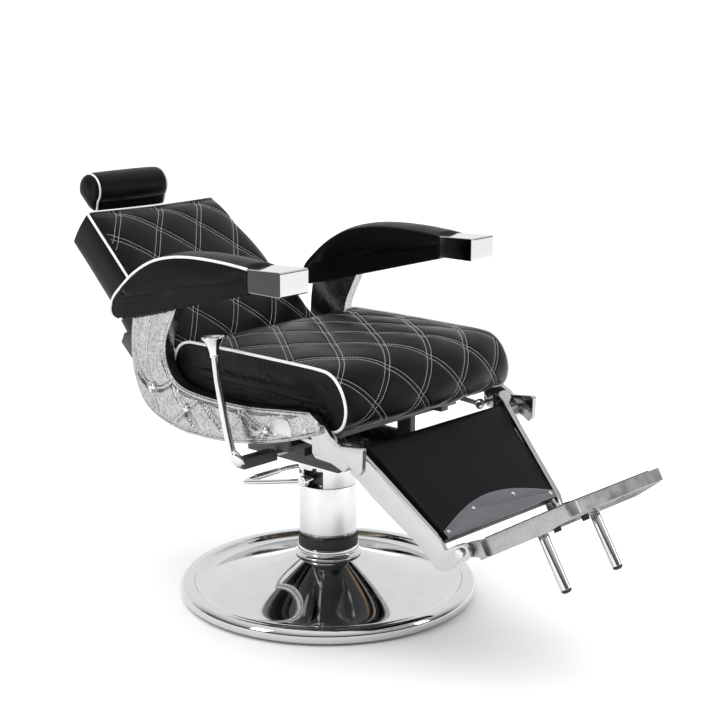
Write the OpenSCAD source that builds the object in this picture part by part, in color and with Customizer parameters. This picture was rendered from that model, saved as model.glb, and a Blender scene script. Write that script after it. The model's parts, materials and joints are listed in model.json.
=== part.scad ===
/* Hydraulic barber chair, millimetres.
   Origin: the swivel axis where it meets the floor. +Z up, the chair faces -Y,
   the occupant's right-hand side is -X. The chair is drawn reclined, with the pump at its lowest. */

/* [Base and column] */
// Diameter of the floor ring
base_d = 680; // [660:5:700]
// Height of the ring's rim
base_rim_h = 38; // [34:1:42]
// Diameter of the column sleeves
column_d = 132; // [128:1:136]
// Height of the top of the column
column_top = 330; // [328:1:332]
// Diameter of the hydraulic piston
piston_d = 72; // [66:1:78]

/* [Side frames] */
// Distance between the outer faces of the side castings
frame_w = 594; // [590:1:600]
// Thickness of each side casting
casting_t = 25; // [24:1:26]

/* [Seat] */
// Width of the seat cushion
seat_w = 526; // [520:1:530]
// Height of the underside of the seat cushion
seat_z = 478; // [477:1:480]
// Height of the seat's top at its sides
seat_side_z = 604; // [595:1:610]
// How far the middle of the seat stands above its sides
seat_crown = 24; // [10:1:26]

/* [Armrests] */
// Overall width over the armrests
arm_span = 676; // [670:1:684]
// Width of each armrest
arm_w = 79; // [74:1:84]

/* [Backrest] */
// Slope of the reclined backrest above the horizontal
back_angle = 39; // [36:1:42]
// Width across the bottom of the backrest
back_w_low = 458; // [450:1:462]
// Width across the top of the backrest
back_w_high = 392; // [380:1:400]
// Length of the backrest from its pivot
back_len = 456; // [440:1:462]

/* [Leg rest] */
// Width of the calf pad at its top
calf_w_high = 444; // [436:1:446]
// Width of the calf pad at its bottom
calf_w_low = 366; // [356:1:366]
// Upward tilt of the footplate
foot_angle = 31; // [28:1:34]
// Width of the footplate
foot_w = 316; // [300:1:324]
// Depth of the footplate, from its hinge
foot_d = 275; // [260:1:285]

/* [Hidden] */
$fn = 64;

run = 0.05;
base_r = base_d / 2;
column_r = column_d / 2;
sleeve_t = 4;
piston_r = piston_d / 2;
collar_top = 116;
band_top = 140;
sleeve_split = 261;
cylinder_top = 248;
spigot_r = 20;
spigot_z = 276;

out_x = frame_w / 2;
in_x = out_x - casting_t;
recess_x = out_x - 11;

recline_y = 262;
recline_z = 520;
leg_y = -232;
leg_z = 497;
foot_y = -544;
foot_z = 273;
pin_r = 9;

link_x = 243;
link_t = 8;
back_link = [251, 473];
leg_link = [-243, 438];
link_pin_r = 5;
spring_x = 60;
spring_pin = [-130, 440];
spring_eye_gap = 4;

strap_z = 416;
strap_t = 12;
strap_w = 40;
strap_ys = [-130, 100];
seat_rail_x = 170;
board_t = 10;
rail_x = 120;
rail_z = 352;
rail_h = 26;
plate_half = 125;
bolt_xy = 60;
plate_bolt_r = 5;

arm_out = arm_span / 2;
arm_in = arm_out - arm_w;
arm_base_t = 8;
arm_line_z = 724;
arm_slope = -0.265;

back_front = 38;
back_rear = -62;
board_w0 = -44;
board_w1 = -32;

pad_dy = -0.745;
pad_dz = -0.668;
pad_angle = 41.9;
pad_top = [-319, 457];
pad_len = 246;
pad_t = 20;
calf_board_t = 10;
leg_bend_y = -313;
leg_x_top = 243;
leg_x_foot = 184;
leg_t = 12;

pump_y = -12;
pump_z = 284;
lever_y = -52;
lever_z = 383;
lever_r = 7;
lever_boss_h = 18;
lever_x = 330;
stud_spots = [[246, 496], [137, 465], [-109, 462]];
badge_spot = [-159, 483];

CHROME = [0.86, 0.87, 0.88];
CASTING = [0.78, 0.78, 0.77];
STEEL = [0.55, 0.56, 0.58];
IRON = [0.25, 0.25, 0.27];
BLACK = [0.07, 0.07, 0.08];
RUBBER = [0.1, 0.1, 0.1];
WOOD = [0.72, 0.58, 0.4];
BRASS = [0.78, 0.62, 0.3];
GUNMETAL = [0.28, 0.28, 0.3];

// A point on a Catmull-Rom curve between b and c.
function blend(a, b, c, d, t) =
    0.5 * (2 * b + (c - a) * t + (2 * a - 5 * b + 4 * c - d) * t * t + (3 * b - a - 3 * c + d) * t * t * t);
// A smooth open curve through the points p, with n steps between neighbours.
function curve(p, n = 6) = [
    for (i = [0 : len(p) - 2], k = [0 : n - 1])
        blend(p[max(i - 1, 0)], p[i], p[i + 1], p[min(i + 2, len(p) - 1)], k / n),
    p[len(p) - 1]];
function arc(c, r, a0, a1, n = 12) = [
    for (i = [0 : n]) c + r * [cos(a0 + (a1 - a0) * i / n), sin(a0 + (a1 - a0) * i / n)]];
function arm_line(y) = arm_line_z + arm_slope * y;

// A domed button head of radius r and height h, standing on Z = 0.
module cap(r, h) {
    ball_r = (r * r + h * h) / (2 * h);
    a0 = atan2(ball_r - h, r);
    rotate_extrude() polygon(concat([[0, 0], [r, 0]],
        [for (i = [1 : 7]) [ball_r * cos(a0 + (90 - a0) * i / 8), h - ball_r + ball_r * sin(a0 + (90 - a0) * i / 8)]],
        [[0, h]]));
}
// Extrudes a side-view outline, given as [y, z] points, from x0 to x1.
module side(x0, x1) {
    translate([x0, 0, 0]) rotate([90, 0, 90]) linear_extrude(x1 - x0) children();
}
// A round bar along X.
module bar_x(r, x0, x1, y, z) {
    translate([x0, y, z]) rotate([0, 90, 0]) cylinder(r = r, h = x1 - x0);
}
module both_sides() {
    children();
    mirror([1, 0, 0]) children();
}
// Places children in the backrest's own frame: Y runs up the backrest, Z is its front normal.
module on_back() {
    translate([0, recline_y, recline_z]) rotate([back_angle, 0, 0]) children();
}
// Places children in the calf pad's frame: Y runs up the pad from its lower edge, Z is its front normal.
module on_calf() {
    translate([0, pad_top[0] + pad_dy * pad_len, pad_top[1] + pad_dz * pad_len])
        rotate([pad_angle, 0, 0]) children();
}
// Places children in the footplate's frame: -Y runs forward from the hinge, Z is the tread normal.
module on_foot() {
    translate([0, foot_y, foot_z]) rotate([-foot_angle, 0, 0]) children();
}
module tube_z(r_out, r_in, z0, z1) {
    translate([0, 0, z0]) difference() {
        cylinder(r = r_out, h = z1 - z0);
        translate([0, 0, -1]) cylinder(r = r_in, h = z1 - z0 + 2);
    }
}

/* ---- Base ---- */

// Points up the trumpet-shaped cover, from the floor ring (k = 0) to the collar (k = 1).
dome_steps = 14;
function dome(k, drop) = [base_r - 52 + (column_r + 7 - base_r + 52) * k, 22 + 68 * pow(k, 2.4) - drop];

module base_shell() {
    rim_in = base_r - 42;
    color(CHROME) rotate_extrude($fn = 128) polygon(concat(
        [[rim_in, 4]], [[base_r - 24, 4]], arc([base_r - 18, 20], 18, -60, 90, 14),
        arc([base_r - 22, base_rim_h - 10], 10, 100, 200, 6),
        [[rim_in + 4, 24], [rim_in - 4, 24]],
        [for (i = [0 : dome_steps]) dome(i / dome_steps, 0)], [[column_r + 2, 90]],
        [for (i = [dome_steps : -1 : 0]) dome(i / dome_steps, 4) - [4, 0]]));
}

module floor_gasket() {
    color(RUBBER) tube_z(base_r - 18, base_r - 34, 0, 4);
}

module base_plate() {
    color(IRON) difference() {
        tube_z(base_r - 55, 30, 4, 14);
        for (a = [45 : 90 : 315]) rotate(a) translate([62, 0, 0]) cylinder(r = 5 + run, h = 20);
    }
}

module plate_bolts() {
    color(STEEL) for (a = [45 : 90 : 315]) rotate(a) translate([62, 0, 0]) {
        translate([0, 0, 4.5]) cylinder(r = 5, h = 19.5);
        translate([0, 0, 24]) cylinder(r = 8.5, h = 7, $fn = 6);
    }
}

module pump_cylinder() {
    color(STEEL) difference() {
        union() {
            translate([0, 0, 14]) cylinder(r = 75, h = 10);
            translate([0, 0, 14]) cylinder(r = 50, h = cylinder_top - 14);
        }
        translate([0, 0, 26]) cylinder(r = piston_r + 3, h = cylinder_top);
        for (a = [45 : 90 : 315]) rotate(a) translate([62, 0, 0]) cylinder(r = 5 + run, h = 40);
    }
}

module gland_nut() {
    color(BRASS) tube_z(50, piston_r + run, cylinder_top, cylinder_top + 10);
}

module collar_ring() {
    r = column_r + 1;
    color(CHROME) rotate_extrude($fn = 96) polygon(concat(
        [[r, 91]], [[r + 8, 91]], arc([r + 5, 95], 4, -40, 70, 5),
        arc([r + 9, 106], 7, 220, 140, 5), [[r + 2.5, collar_top]], [[r, collar_top]]));
}

module collar_band() {
    color(RUBBER) tube_z(column_r + 2, column_r + 0.1, collar_top, band_top);
}

module lower_sleeve() {
    color(CHROME) tube_z(column_r, column_r - sleeve_t, 88, sleeve_split);
}

/* ---- Lifting ram ---- */

module piston_rod() {
    color(CHROME) {
        translate([0, 0, 40]) cylinder(r = piston_r, h = 262 - 40);
        translate([0, 0, 262]) cylinder(r = spigot_r, h = spigot_z - 262);
    }
}

module swivel_bush() {
    color(BRASS) tube_z(34, spigot_r + run, 262, 265);
}

/* ---- Swivelling chassis ---- */

module upper_sleeve() {
    color(CHROME) difference() {
        tube_z(column_r, column_r - sleeve_t, sleeve_split + 1, column_top);
        translate([-column_r - 1, pump_y - 25, sleeve_split]) cube([column_d + 2, 50, 40]);
    }
}

module pump_head() {
    color(IRON) difference() {
        translate([0, 0, 265.3]) cylinder(r = column_r - sleeve_t - run, h = column_top - 265.3);
        translate([0, 0, 264]) cylinder(r = spigot_r + run, h = spigot_z + 1 - 264);
        bar_x(7 + run, -column_r, column_r, pump_y, pump_z);
        for (s = [-1, 1]) translate([s * 60 - 14, pump_y - 25, 262]) cube([28, 50, 39]);
    }
}

module mount_plate() {
    color(IRON) difference() {
        union() {
            translate([0, 0, column_top]) cylinder(r = 95, h = 8);
            translate([-plate_half, -150, column_top + 8]) cube([2 * plate_half, 280, rail_z - column_top - 8]);
        }
        for (x = [-bolt_xy, bolt_xy], y = [-bolt_xy, bolt_xy])
            translate([x, y, 300]) cylinder(r = plate_bolt_r + run, h = 80);
    }
}

// Height of the upturned flange that bolts each cross strap to the castings.
function flange_h(y) = y < 0 ? 52 : 40;
function flange_z(y) = strap_z + flange_h(y) - 11;

module strap(y) {
    translate([-in_x, y - strap_w / 2, strap_z]) cube([2 * in_x, strap_w, strap_t]);
    both_sides() translate([in_x - 8, y - strap_w / 2, strap_z]) cube([8, strap_w, flange_h(y)]);
}

module chassis_frame() {
    color(IRON) difference() {
        union() {
            for (s = [-1, 1]) translate([s * rail_x - 8, -150, rail_z]) cube([16, 280, rail_h]);
            for (s = [-1, 1], y = strap_ys)
                translate([s * rail_x - 8, y - 20, rail_z + rail_h - 0.01])
                    cube([16, 40, strap_z - rail_z - rail_h + 0.02]);
            for (y = strap_ys) strap(y);
            translate([-rail_x - 8, lever_y - 20, rail_z + rail_h - 0.01]) cube([16, 40, lever_boss_h]);
            for (s = [-1, 1]) translate([s * seat_rail_x - 12, -200, strap_z + strap_t])
                cube([24, 390, seat_z - board_t - strap_z - strap_t]);
            for (x = [spring_x - 18, spring_x + 12])
                translate([x, spring_pin[0] - 14, strap_z + strap_t]) cube([6, 28, 24]);
        }
        bar_x(lever_r + run, -rail_x - 20, -rail_x + 20, lever_y, lever_z);
        bar_x(link_pin_r + run, spring_x - 30, spring_x + 30, spring_pin[0], spring_pin[1]);
        for (y = strap_ys, d = [-12, 12]) bar_x(4 + run, -in_x - 1, in_x + 1, y + d, flange_z(y));
    }
}

module frame_bolts() {
    color(STEEL) {
        both_sides() for (y = strap_ys, d = [-12, 12]) {
            bar_x(4, in_x - 14, in_x + 12, y + d, flange_z(y));
            translate([in_x - 14, y + d, flange_z(y)]) rotate([0, 90, 0]) cylinder(r = 7, h = 5.9, $fn = 6);
        }
        for (x = [-bolt_xy, bolt_xy], y = [-bolt_xy, bolt_xy]) translate([x, y, 0]) {
            translate([0, 0, 318]) cylinder(r = plate_bolt_r, h = rail_z - 318);
            translate([0, 0, rail_z]) cylinder(r = 8.5, h = 6, $fn = 6);
        }
        bar_x(link_pin_r, spring_x - 20, spring_x + 20, spring_pin[0], spring_pin[1]);
    }
}

casting_low = [[312, 641], [318, 600], [319, 561], [313, 518], [286, 461], [240, 430], [162, 411],
    [90, 409], [17, 413], [-60, 423], [-150, 444], [-215, 464], [-257, 480], [-264, 494], [-260, 506], [-234, 522]];
casting_high = [[-151, 513], [-62, 503], [40, 500], [128, 505], [173, 520], [197, 550], [204, 582],
    [200, 610], [186, 640], [165, 680]];

module casting_outline() {
    polygon(concat(curve(casting_low, 5), curve(casting_high, 5)));
}

module side_casting() {
    difference() {
        side(in_x, out_x) casting_outline();
        side(in_x - 1, recess_x) polygon([[-206, 400], [-206, 560], [-300, 560], [-300, 400]]);
        bar_x(pin_r + run, in_x - 1, out_x - 6, recline_y, recline_z);
        bar_x(pin_r + run, in_x - 1, out_x - 5, leg_y, leg_z);
        for (y = strap_ys, d = [-12, 12]) bar_x(4 + run, in_x - 1, in_x + 13, y + d, flange_z(y));
        for (p = stud_spots) bar_x(4 + run, out_x - 8, out_x + 1, p[0], p[1]);
        for (y = [195, 285]) translate([out_x - 13, y, arm_line(y) - 15]) cylinder(r = 3 + run, h = 40);
    }
}
module side_casting_right() { color(CASTING) mirror([1, 0, 0]) side_casting(); }
module side_casting_left() { color(CASTING) side_casting(); }

module casting_studs() {
    color(CHROME) both_sides() for (p = stud_spots) {
        bar_x(4, out_x - 8, out_x, p[0], p[1]);
        translate([out_x, p[0], p[1]]) rotate([0, 90, 0]) cap(9, 4.5);
    }
}

module side_plates() {
    color(CASTING) both_sides() translate([out_x, badge_spot[0], badge_spot[1]]) rotate([90, 0, 90])
        linear_extrude(2) difference() {
            translate([0, -12]) circle(r = 26);
            translate([-40, -60]) square([80, 38]);
        }
}

module hinge_pins() {
    color(STEEL) both_sides() {
        bar_x(pin_r, 240, out_x - 6, recline_y, recline_z);
        bar_x(pin_r, in_x - 4, out_x - 5, leg_y, leg_z);
    }
}

/* ---- Armrests ---- */

arm_top = [[-104, 803], [-20, 808], [60, 808], [130, 801], [195, 784], [255, 752], [302, 714], [326, 690],
    [336, 664], [328, 648], [310, 642]];

module arm_base() {
    difference() {
        side(arm_in + 10, arm_out - 10) polygon([[-100, arm_line(-100) + 0.2], [300, arm_line(300) + 0.2],
            [300, arm_line(300) + arm_base_t], [-100, arm_line(-100) + arm_base_t]]);
        for (y = [195, 285]) translate([out_x - 13, y, arm_line(y) - 15]) cylinder(r = 3 + run, h = 40);
    }
}
module arm_base_right() { color(WOOD) mirror([1, 0, 0]) arm_base(); }
module arm_base_left() { color(WOOD) arm_base(); }

module arm_pad() {
    difference() {
        side(arm_in, arm_out) polygon(concat(curve(arm_top, 4), [[-104, arm_line(-104)]]));
        side(arm_in + 9.9, arm_out - 9.9) polygon([[-110, arm_line(-110) - 20], [300.1, arm_line(300.1) - 20],
            [300.1, arm_line(300.1) + arm_base_t + 0.1], [-110, arm_line(-110) + arm_base_t + 0.1]]);
    }
}
module arm_pad_right() { color(BLACK) mirror([1, 0, 0]) arm_pad(); }
module arm_pad_left() { color(BLACK) arm_pad(); }

module arm_cap() {
    difference() {
        side(arm_in, arm_out) polygon(concat([[-104.2, 803], [-104.2, 755]], arc([-193, 761], 6, 270, 180, 4),
            arc([-195, 803], 4, 180, 90, 4)));
        side(arm_in + 10, arm_out - 10) polygon([[-104, 762], [-104, 795], [-150, 795], [-150, 762]]);
    }
}
module arm_cap_right() { color(CHROME) mirror([1, 0, 0]) arm_cap(); }
module arm_cap_left() { color(CHROME) arm_cap(); }

/* ---- Seat ---- */

module seat_board() {
    color(WOOD) difference() {
        translate([-230, -205, seat_z - board_t]) cube([460, 400, board_t - 0.1]);
        translate([spring_x - 16, 100, seat_z - 20]) cube([32, 120, 30]);
    }
}

seat_front = -319;
seat_bow = 16;
seat_nose = [[-226, 606], [-268, 600], [-298, 580], [-315, 553], [seat_front, 526], [-312, 500],
    [-293, 484], [-262, 478]];

module seat_cushion() {
    half = seat_w / 2;
    crown_r = (half * half + seat_crown * seat_crown) / (2 * seat_crown);
    span = asin(half / crown_r);
    bow_r = (half * half + seat_bow * seat_bow) / (2 * seat_bow);
    bow_span = asin(half / bow_r);
    color(BLACK) intersection() {
        translate([0, 0, 400]) linear_extrude(300) polygon(concat([[half, 300], [-half, 300]],
            arc([0, seat_front + bow_r], bow_r, -90 - bow_span, -90 + bow_span, 12)));
        side(-half, half) polygon(concat([[205, seat_z], [212, 500], [212, 552], [196, 590], [150, 606],
            [100, 618], [20, seat_side_z + seat_crown], [-120, seat_side_z + seat_crown]], curve(seat_nose, 4)));
        translate([0, 310, 0]) rotate([90, 0, 0]) linear_extrude(640) polygon(concat(
            [[-250, seat_z], [250, seat_z], [255, 519], [half, 548]],
            arc([0, seat_side_z + seat_crown - crown_r], crown_r, 90 - span, 90 + span, 16),
            [[-half, 548], [-255, 519]]));
    }
}

/* ---- Levers and gas spring ---- */

module lever_block() {
    color(BLACK) difference() {
        translate([-rail_x - 28, lever_y - 20, lever_z - 18]) cube([20 - 0.1, 40, 34]);
        bar_x(lever_r + run, -rail_x - 40, -rail_x, lever_y, lever_z);
    }
}

module spring_line(x) {
    angle = atan2(back_link[1] - spring_pin[1], back_link[0] - spring_pin[0]);
    translate([x, spring_pin[0], spring_pin[1]]) rotate([angle, 0, 0]) children();
}
spring_len = norm(back_link - spring_pin);

module spring_tube() {
    color(BLACK) difference() {
        union() {
            spring_line(spring_x) translate([0, 10, 0]) rotate([-90, 0, 0]) cylinder(r = 10, h = 180);
            bar_x(10, spring_x - 8, spring_x + 8, spring_pin[0], spring_pin[1]);
        }
        spring_line(spring_x) translate([0, 20, 0]) rotate([-90, 0, 0]) cylinder(r = 5 + run, h = 200);
        bar_x(link_pin_r + run, spring_x - 30, spring_x + 30, spring_pin[0], spring_pin[1]);
    }
}

module spring_rod() {
    eye_in = 9 + spring_eye_gap;
    color(STEEL) difference() {
        union() {
            spring_line(spring_x) translate([0, 90, 0]) rotate([-90, 0, 0])
                cylinder(r = 5, h = spring_len - 90 - eye_in);
            bar_x(eye_in + 4, spring_x - 7, spring_x + 7, back_link[0], back_link[1]);
        }
        bar_x(eye_in, spring_x - 30, spring_x + 30, back_link[0], back_link[1]);
    }
}

module push_rods() {
    slope = atan2(back_link[1] - leg_link[1], back_link[0] - leg_link[0]);
    length = norm(back_link - leg_link);
    color(STEEL) both_sides() difference() {
        translate([link_x - link_t / 2, leg_link[0], leg_link[1]]) rotate([slope, 0, 0]) union() {
            translate([0, 0, -5]) cube([link_t, length, 10]);
            bar_x(12, 0, link_t, 0, 0);
            bar_x(14, 0, link_t, length, 0);
        }
        bar_x(link_pin_r + 3, link_x - 30, link_x + 30, leg_link[0], leg_link[1]);
        bar_x(9 + run, link_x - 30, link_x + 30, back_link[0], back_link[1]);
    }
}

/* ---- Backrest ---- */

function back_half(u) = (back_w_low + (back_w_high - back_w_low) * u / back_len) / 2;

module back_side(x) {
    on_back() side(-x, x) polygon(concat([[4, back_front], [-8, 28], [-12, 10], [-12, -56], [10, -86], [60, -84]],
        [[150, -76], [250, back_rear - 2], [back_len - 16, back_rear]],
        arc([back_len - 12, back_rear + 12], 12, 270, 360, 5), [[back_len - 3, back_front + 12]]));
}

module back_plan(z0, z1, inset) {
    on_back() translate([0, 0, z0]) linear_extrude(z1 - z0) polygon([
        [-back_half(0) + inset, -20], [back_half(0) - inset, -20],
        [back_half(back_len) - inset, back_len + 10], [-back_half(back_len) + inset, back_len + 10]]);
}

module back_cushion() {
    crown = 12;
    half = back_w_low / 2;
    crown_r = (half * half + crown * crown) / (2 * crown);
    span = asin(half / crown_r);
    color(BLACK) difference() {
        intersection() {
            back_side(half + 1);
            back_plan(-120, 80, 0);
            on_back() translate([0, back_len + 10, 0]) rotate([90, 0, 0]) linear_extrude(back_len + 60)
                polygon(concat([[-half, board_w1 - 10], [half, board_w1 - 10]],
                    arc([0, back_front + crown - crown_r], crown_r, 90 - span, 90 + span, 12)));
        }
        on_back() translate([0, 0, board_w0 - 20]) linear_extrude(board_w1 - board_w0 + 20.1) board_outline(0.1);
        both_sides() on_back() for (u = [50, 120]) bar_x(12.5, 190, 260, u, -38);
        on_back() translate([-22, 430, stem_z0 - 4]) cube([44, 60, stem_t + 8]);
    }
}

module board_outline(grow) {
    polygon([[-208 - grow, 10 - grow], [208 + grow, 10 - grow],
        [180 + grow, back_len - 20 + grow], [-180 - grow, back_len - 20 + grow]]);
}

module back_board() {
    color(WOOD) difference() {
        on_back() translate([0, 0, board_w0]) linear_extrude(board_w1 - board_w0) board_outline(0);
        both_sides() on_back() for (u = [50, 120]) bar_x(5 + run, 170, 260, u, -38);
        on_back() translate([-24, 250, board_w0 - 1]) cube([48, 190, 20]);
    }
}

module back_cover() {
    color(BLACK) difference() {
        intersection() {
            back_side(back_w_low / 2);
            back_plan(-120, board_w1 - 10 - 0.2, 1);
        }
        on_back() translate([0, 0, board_w0 - 0.1]) linear_extrude(30) board_outline(0.1);
        both_sides() on_back() for (u = [50, 120]) bar_x(12.5, 190, 260, u, -38);
        on_back() translate([-25, 329, -70]) cube([50, 140, 60]);
    }
}

module back_frame() {
    color(IRON) {
        both_sides() difference() {
            union() {
                on_back() side(248, 257) polygon(concat(arc([0, 0], 24, 60, 150, 6), arc([-38, -29], 16, 150, 280, 8),
                    [[40, -60], [140, -56], [146, -30], [130, -18]]));
                on_back() for (u = [50, 120]) bar_x(12, 209, 248, u, -38);
                on_back() for (u = [50, 120]) bar_x(5, 180, 209, u, -38);
            }
            bar_x(pin_r + run, 240, 260, recline_y, recline_z);
        }
        bar_x(9, -252, 252, back_link[0], back_link[1]);
    }
}

/* ---- Headrest ---- */

stem_w = 34;
stem_t = 8;
stem_z0 = board_w0 + 2;
head_u = 560;
head_w = 4;
head_half = 122;

module headrest_guide() {
    color(IRON) on_back() difference() {
        translate([-24, 331, stem_z0 - 8]) cube([48, 104, stem_t + 10]);
        translate([-stem_w / 2 - run, 300, stem_z0 - run]) cube([stem_w + 2 * run, 200, stem_t + 2 * run]);
        translate([0, 380, stem_z0 - 30]) cylinder(r = 4 + run, h = 30);
    }
}

module guide_knob() {
    color(BLACK) on_back() translate([0, 380, 0]) {
        translate([0, 0, stem_z0 - 26]) cylinder(r = 4, h = 25.8);
        translate([0, 0, stem_z0 - 40]) cylinder(r = 15, h = 14);
    }
}

module headrest_stem() {
    color(CHROME) on_back() difference() {
        union() {
            translate([-stem_w / 2, 300, stem_z0]) cube([stem_w, head_u - 50 - 300, stem_t]);
            side(-stem_w / 2, stem_w / 2) polygon([[head_u - 50.1, stem_z0], [head_u - 50.1, stem_z0 + stem_t],
                [head_u - 14, head_w + 4], [head_u - 10, head_w - 8], [head_u - 34, stem_z0]]);
            bar_x(11, -stem_w / 2, stem_w / 2, head_u, head_w);
            side(-stem_w / 2, stem_w / 2) polygon([[head_u - 16, head_w + 4], [head_u, head_w + 6],
                [head_u, head_w - 8], [head_u - 12, head_w - 8]]);
        }
        bar_x(6 + run, -stem_w, stem_w, head_u, head_w);
    }
}

module headrest_pin() {
    color(STEEL) on_back() bar_x(6, -60, 60, head_u, head_w);
}

module head_slot(grow) {
    translate([-stem_w / 2 - 3 - grow, head_u - 80, head_w - 60]) cube([stem_w + 6 + 2 * grow, 96 + grow, 80 + grow]);
}

module headrest_core() {
    color(WOOD) on_back() difference() {
        bar_x(22, -100, 100, head_u, head_w);
        bar_x(6, -60, 60, head_u, head_w);
        head_slot(0);
    }
}

module headrest_pad() {
    color(BLACK) on_back() difference() {
        side(-head_half, head_half) polygon(concat(arc([head_u, head_w], 39, -70, 190, 20),
            curve([[head_u - 50, head_w - 20], [head_u - 44, head_w - 32], [head_u - 30, head_w - 36]], 3)));
        bar_x(22.1, -100.1, 100.1, head_u, head_w);
        head_slot(0);
    }
}

/* ---- Leg rest ---- */

module leg_frame() {
    splay = atan((leg_x_top - leg_x_foot) / (leg_bend_y - foot_y));
    difference() {
        union() {
            side(in_x + 0.5, recess_x - 0.5) polygon(concat(arc([leg_y, leg_z], 20, 100, -20, 8),
                [[-229, 466], [-231, 450], [-231, 436], [-240, 426], [-280, 424], [-316, 424], [-316, 455], [-293, 474]],
                arc([leg_y, leg_z], 20, 190, 150, 3)));
            side(leg_x_top - leg_t / 2, recess_x - 0.5)
                polygon([[-284, 424], [-296, 420], [-318, 412], [-330, 424], [-326, 448], [-312, 460],
                    [-293, 474], [-284, 466]]);
            translate([leg_x_top, leg_bend_y, 0]) rotate(-splay) translate([-leg_t / 2, 0, 0]) leg_arm(1 / cos(splay));
        }
        bar_x(pin_r + run, in_x - 5, out_x, leg_y, leg_z);
        bar_x(link_pin_r, in_x - 5, recess_x, leg_link[0], leg_link[1]);
        bar_x(6 + run, 150, 220, foot_y, foot_z);
    }
    bar_x(link_pin_r, link_x - 6, recess_x - 1, leg_link[0], leg_link[1]);
}

// The arm's outline, measured along its own splayed plane from the point beside the pad's top corner.
module leg_arm(k) {
    side(0, leg_t) polygon(concat(
        [[0, 459]], [[12, 462]], [[12, 424]], curve([[10, 400], [-10, 384], [-40, 356]], 3),
        [[-140 * k, 272]], curve([[-168 * k, 240], [-186 * k, 228], [-206 * k, 232], [-222 * k, 250]], 4),
        arc([-231 * k, foot_z], 18, 290, 90, 10),
        [[-212 * k, 282], [-196 * k, 272], [-186 * k, 292]]));
}
module leg_frame_right() { color(CHROME) mirror([1, 0, 0]) leg_frame(); }
module leg_frame_left() { color(CHROME) leg_frame(); }

module leg_crossbar() {
    color(STEEL) on_calf() bar_x(8, -leg_x_top + 16, leg_x_top - 16, 206, -42);
}

module calf_outline(inset) {
    polygon([[-calf_w_low / 2 + inset, 0], [calf_w_low / 2 - inset, 0],
        [calf_w_high / 2 - inset, pad_len - inset], [-calf_w_high / 2 + inset, pad_len - inset]]);
}

module calf_board() {
    color(WOOD) on_calf() translate([0, 0, -pad_t - calf_board_t - 0.1]) linear_extrude(calf_board_t) calf_outline(6);
}

module calf_pad() {
    color(BLACK) on_calf() translate([0, 0, -pad_t]) linear_extrude(pad_t) calf_outline(0);
}

kick_half = calf_w_low / 2 - 1;
module kick_outline() {
    polygon(concat([[-kick_half, -2], [kick_half, -2], [kick_half + 1, 14]],
        [for (i = [0 : 16]) let (k = 1 - i / 8) [k * (kick_half + 1), 14 + 44 * cos(90 * k)]]));
}
kick_spots = [[-170, 10], [-66, 38], [66, 38], [170, 10]];

module kick_plate() {
    color(GUNMETAL) on_calf() translate([0, 0, 0.1]) difference() {
        linear_extrude(2) kick_outline();
        for (p = kick_spots) translate([p[0], p[1], -1]) cylinder(r = 2.5 + run, h = 5);
    }
}

module kick_screws() {
    color(CHROME) on_calf() for (p = kick_spots) translate([p[0], p[1], 0]) {
        translate([0, 0, 0.1]) cylinder(r = 2.5, h = 2);
        translate([0, 0, 2.1]) cap(5, 2.4);
    }
}

module foot_bolts() {
    color(CHROME) both_sides() {
        bar_x(6, 150, leg_x_foot + 12, foot_y, foot_z);
        translate([leg_x_foot + 9, foot_y, foot_z]) rotate([0, 90, 0]) cylinder(r = 10, h = 6, $fn = 6);
    }
}

/* ---- Footplate ---- */

tray_top = 8;
tray_low = -28;
tray_front_low = -17;
tray_slope_y = -190;
socket_top = -2;
tray_rear = 12;
tube_s = 125;
tube_x = 88;
tube_r = 11;
strip_count = 9;

module foot_plan(inset, z0, z1) {
    half = foot_w / 2;
    r = 22;
    translate([0, 0, z0]) linear_extrude(z1 - z0) intersection() {
        translate([-half + inset, -foot_d + inset]) square([foot_w - 2 * inset, foot_d - tray_rear - 2 * inset]);
        union() {
            translate([-half, -foot_d + r]) square([foot_w, foot_d]);
            translate([-half + r, -foot_d]) square([foot_w - 2 * r, foot_d]);
            for (s = [-1, 1]) translate([s * (half - r), -foot_d + r]) circle(r = r - inset);
        }
    }
}

module footplate() {
    color(CASTING) on_foot() difference() {
        union() {
            difference() {
                foot_plan(0, tray_low, tray_top);
                foot_plan(7, tray_low - 1, tray_top - 8);
            }
            for (s = [-1, 1]) translate([s * tube_x, -tube_s, tray_low]) cylinder(r = 15, h = 1 - tray_low);
            for (x = [-100, 0, 100])
                translate([x - 3, -foot_d + 4, tray_low + 6]) cube([6, foot_d - tray_rear - 8, -tray_low - 5]);
            for (y = [-70, -200]) translate([-foot_w / 2 + 4, y, tray_low + 6]) cube([foot_w - 8, 6, -tray_low - 5]);
            both_sides() side(152, 170)
                polygon(concat(arc([0, 0], 14, -90, 90, 8), [[-40, tray_top], [-40, tray_low]]));
        }
        side(-foot_w, foot_w) polygon([[tray_slope_y, tray_low], [-foot_d - 1, tray_front_low],
            [-foot_d - 1, 2 * tray_low], [tray_slope_y, 2 * tray_low]]);
        bar_x(6 + run, -200, 200, 0, 0);
        for (s = [-1, 1]) translate([s * tube_x, -tube_s, tray_low - 1])
            cylinder(r = tube_r + run, h = socket_top - tray_low + 1);
        for (i = [0 : strip_count - 1]) translate([-foot_w / 2 + 14, strip_y(i) - 5, tray_top - 2])
            cube([foot_w - 28, 10, 4]);
    }
}
function strip_y(i) = -36 - i * 26;

module tread_strips() {
    color(RUBBER) on_foot() for (i = [0 : strip_count - 1])
        translate([-foot_w / 2 + 14.2, strip_y(i) - 4.8, tray_top - 1.9]) cube([foot_w - 28.4, 9.6, 4.4]);
}

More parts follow.
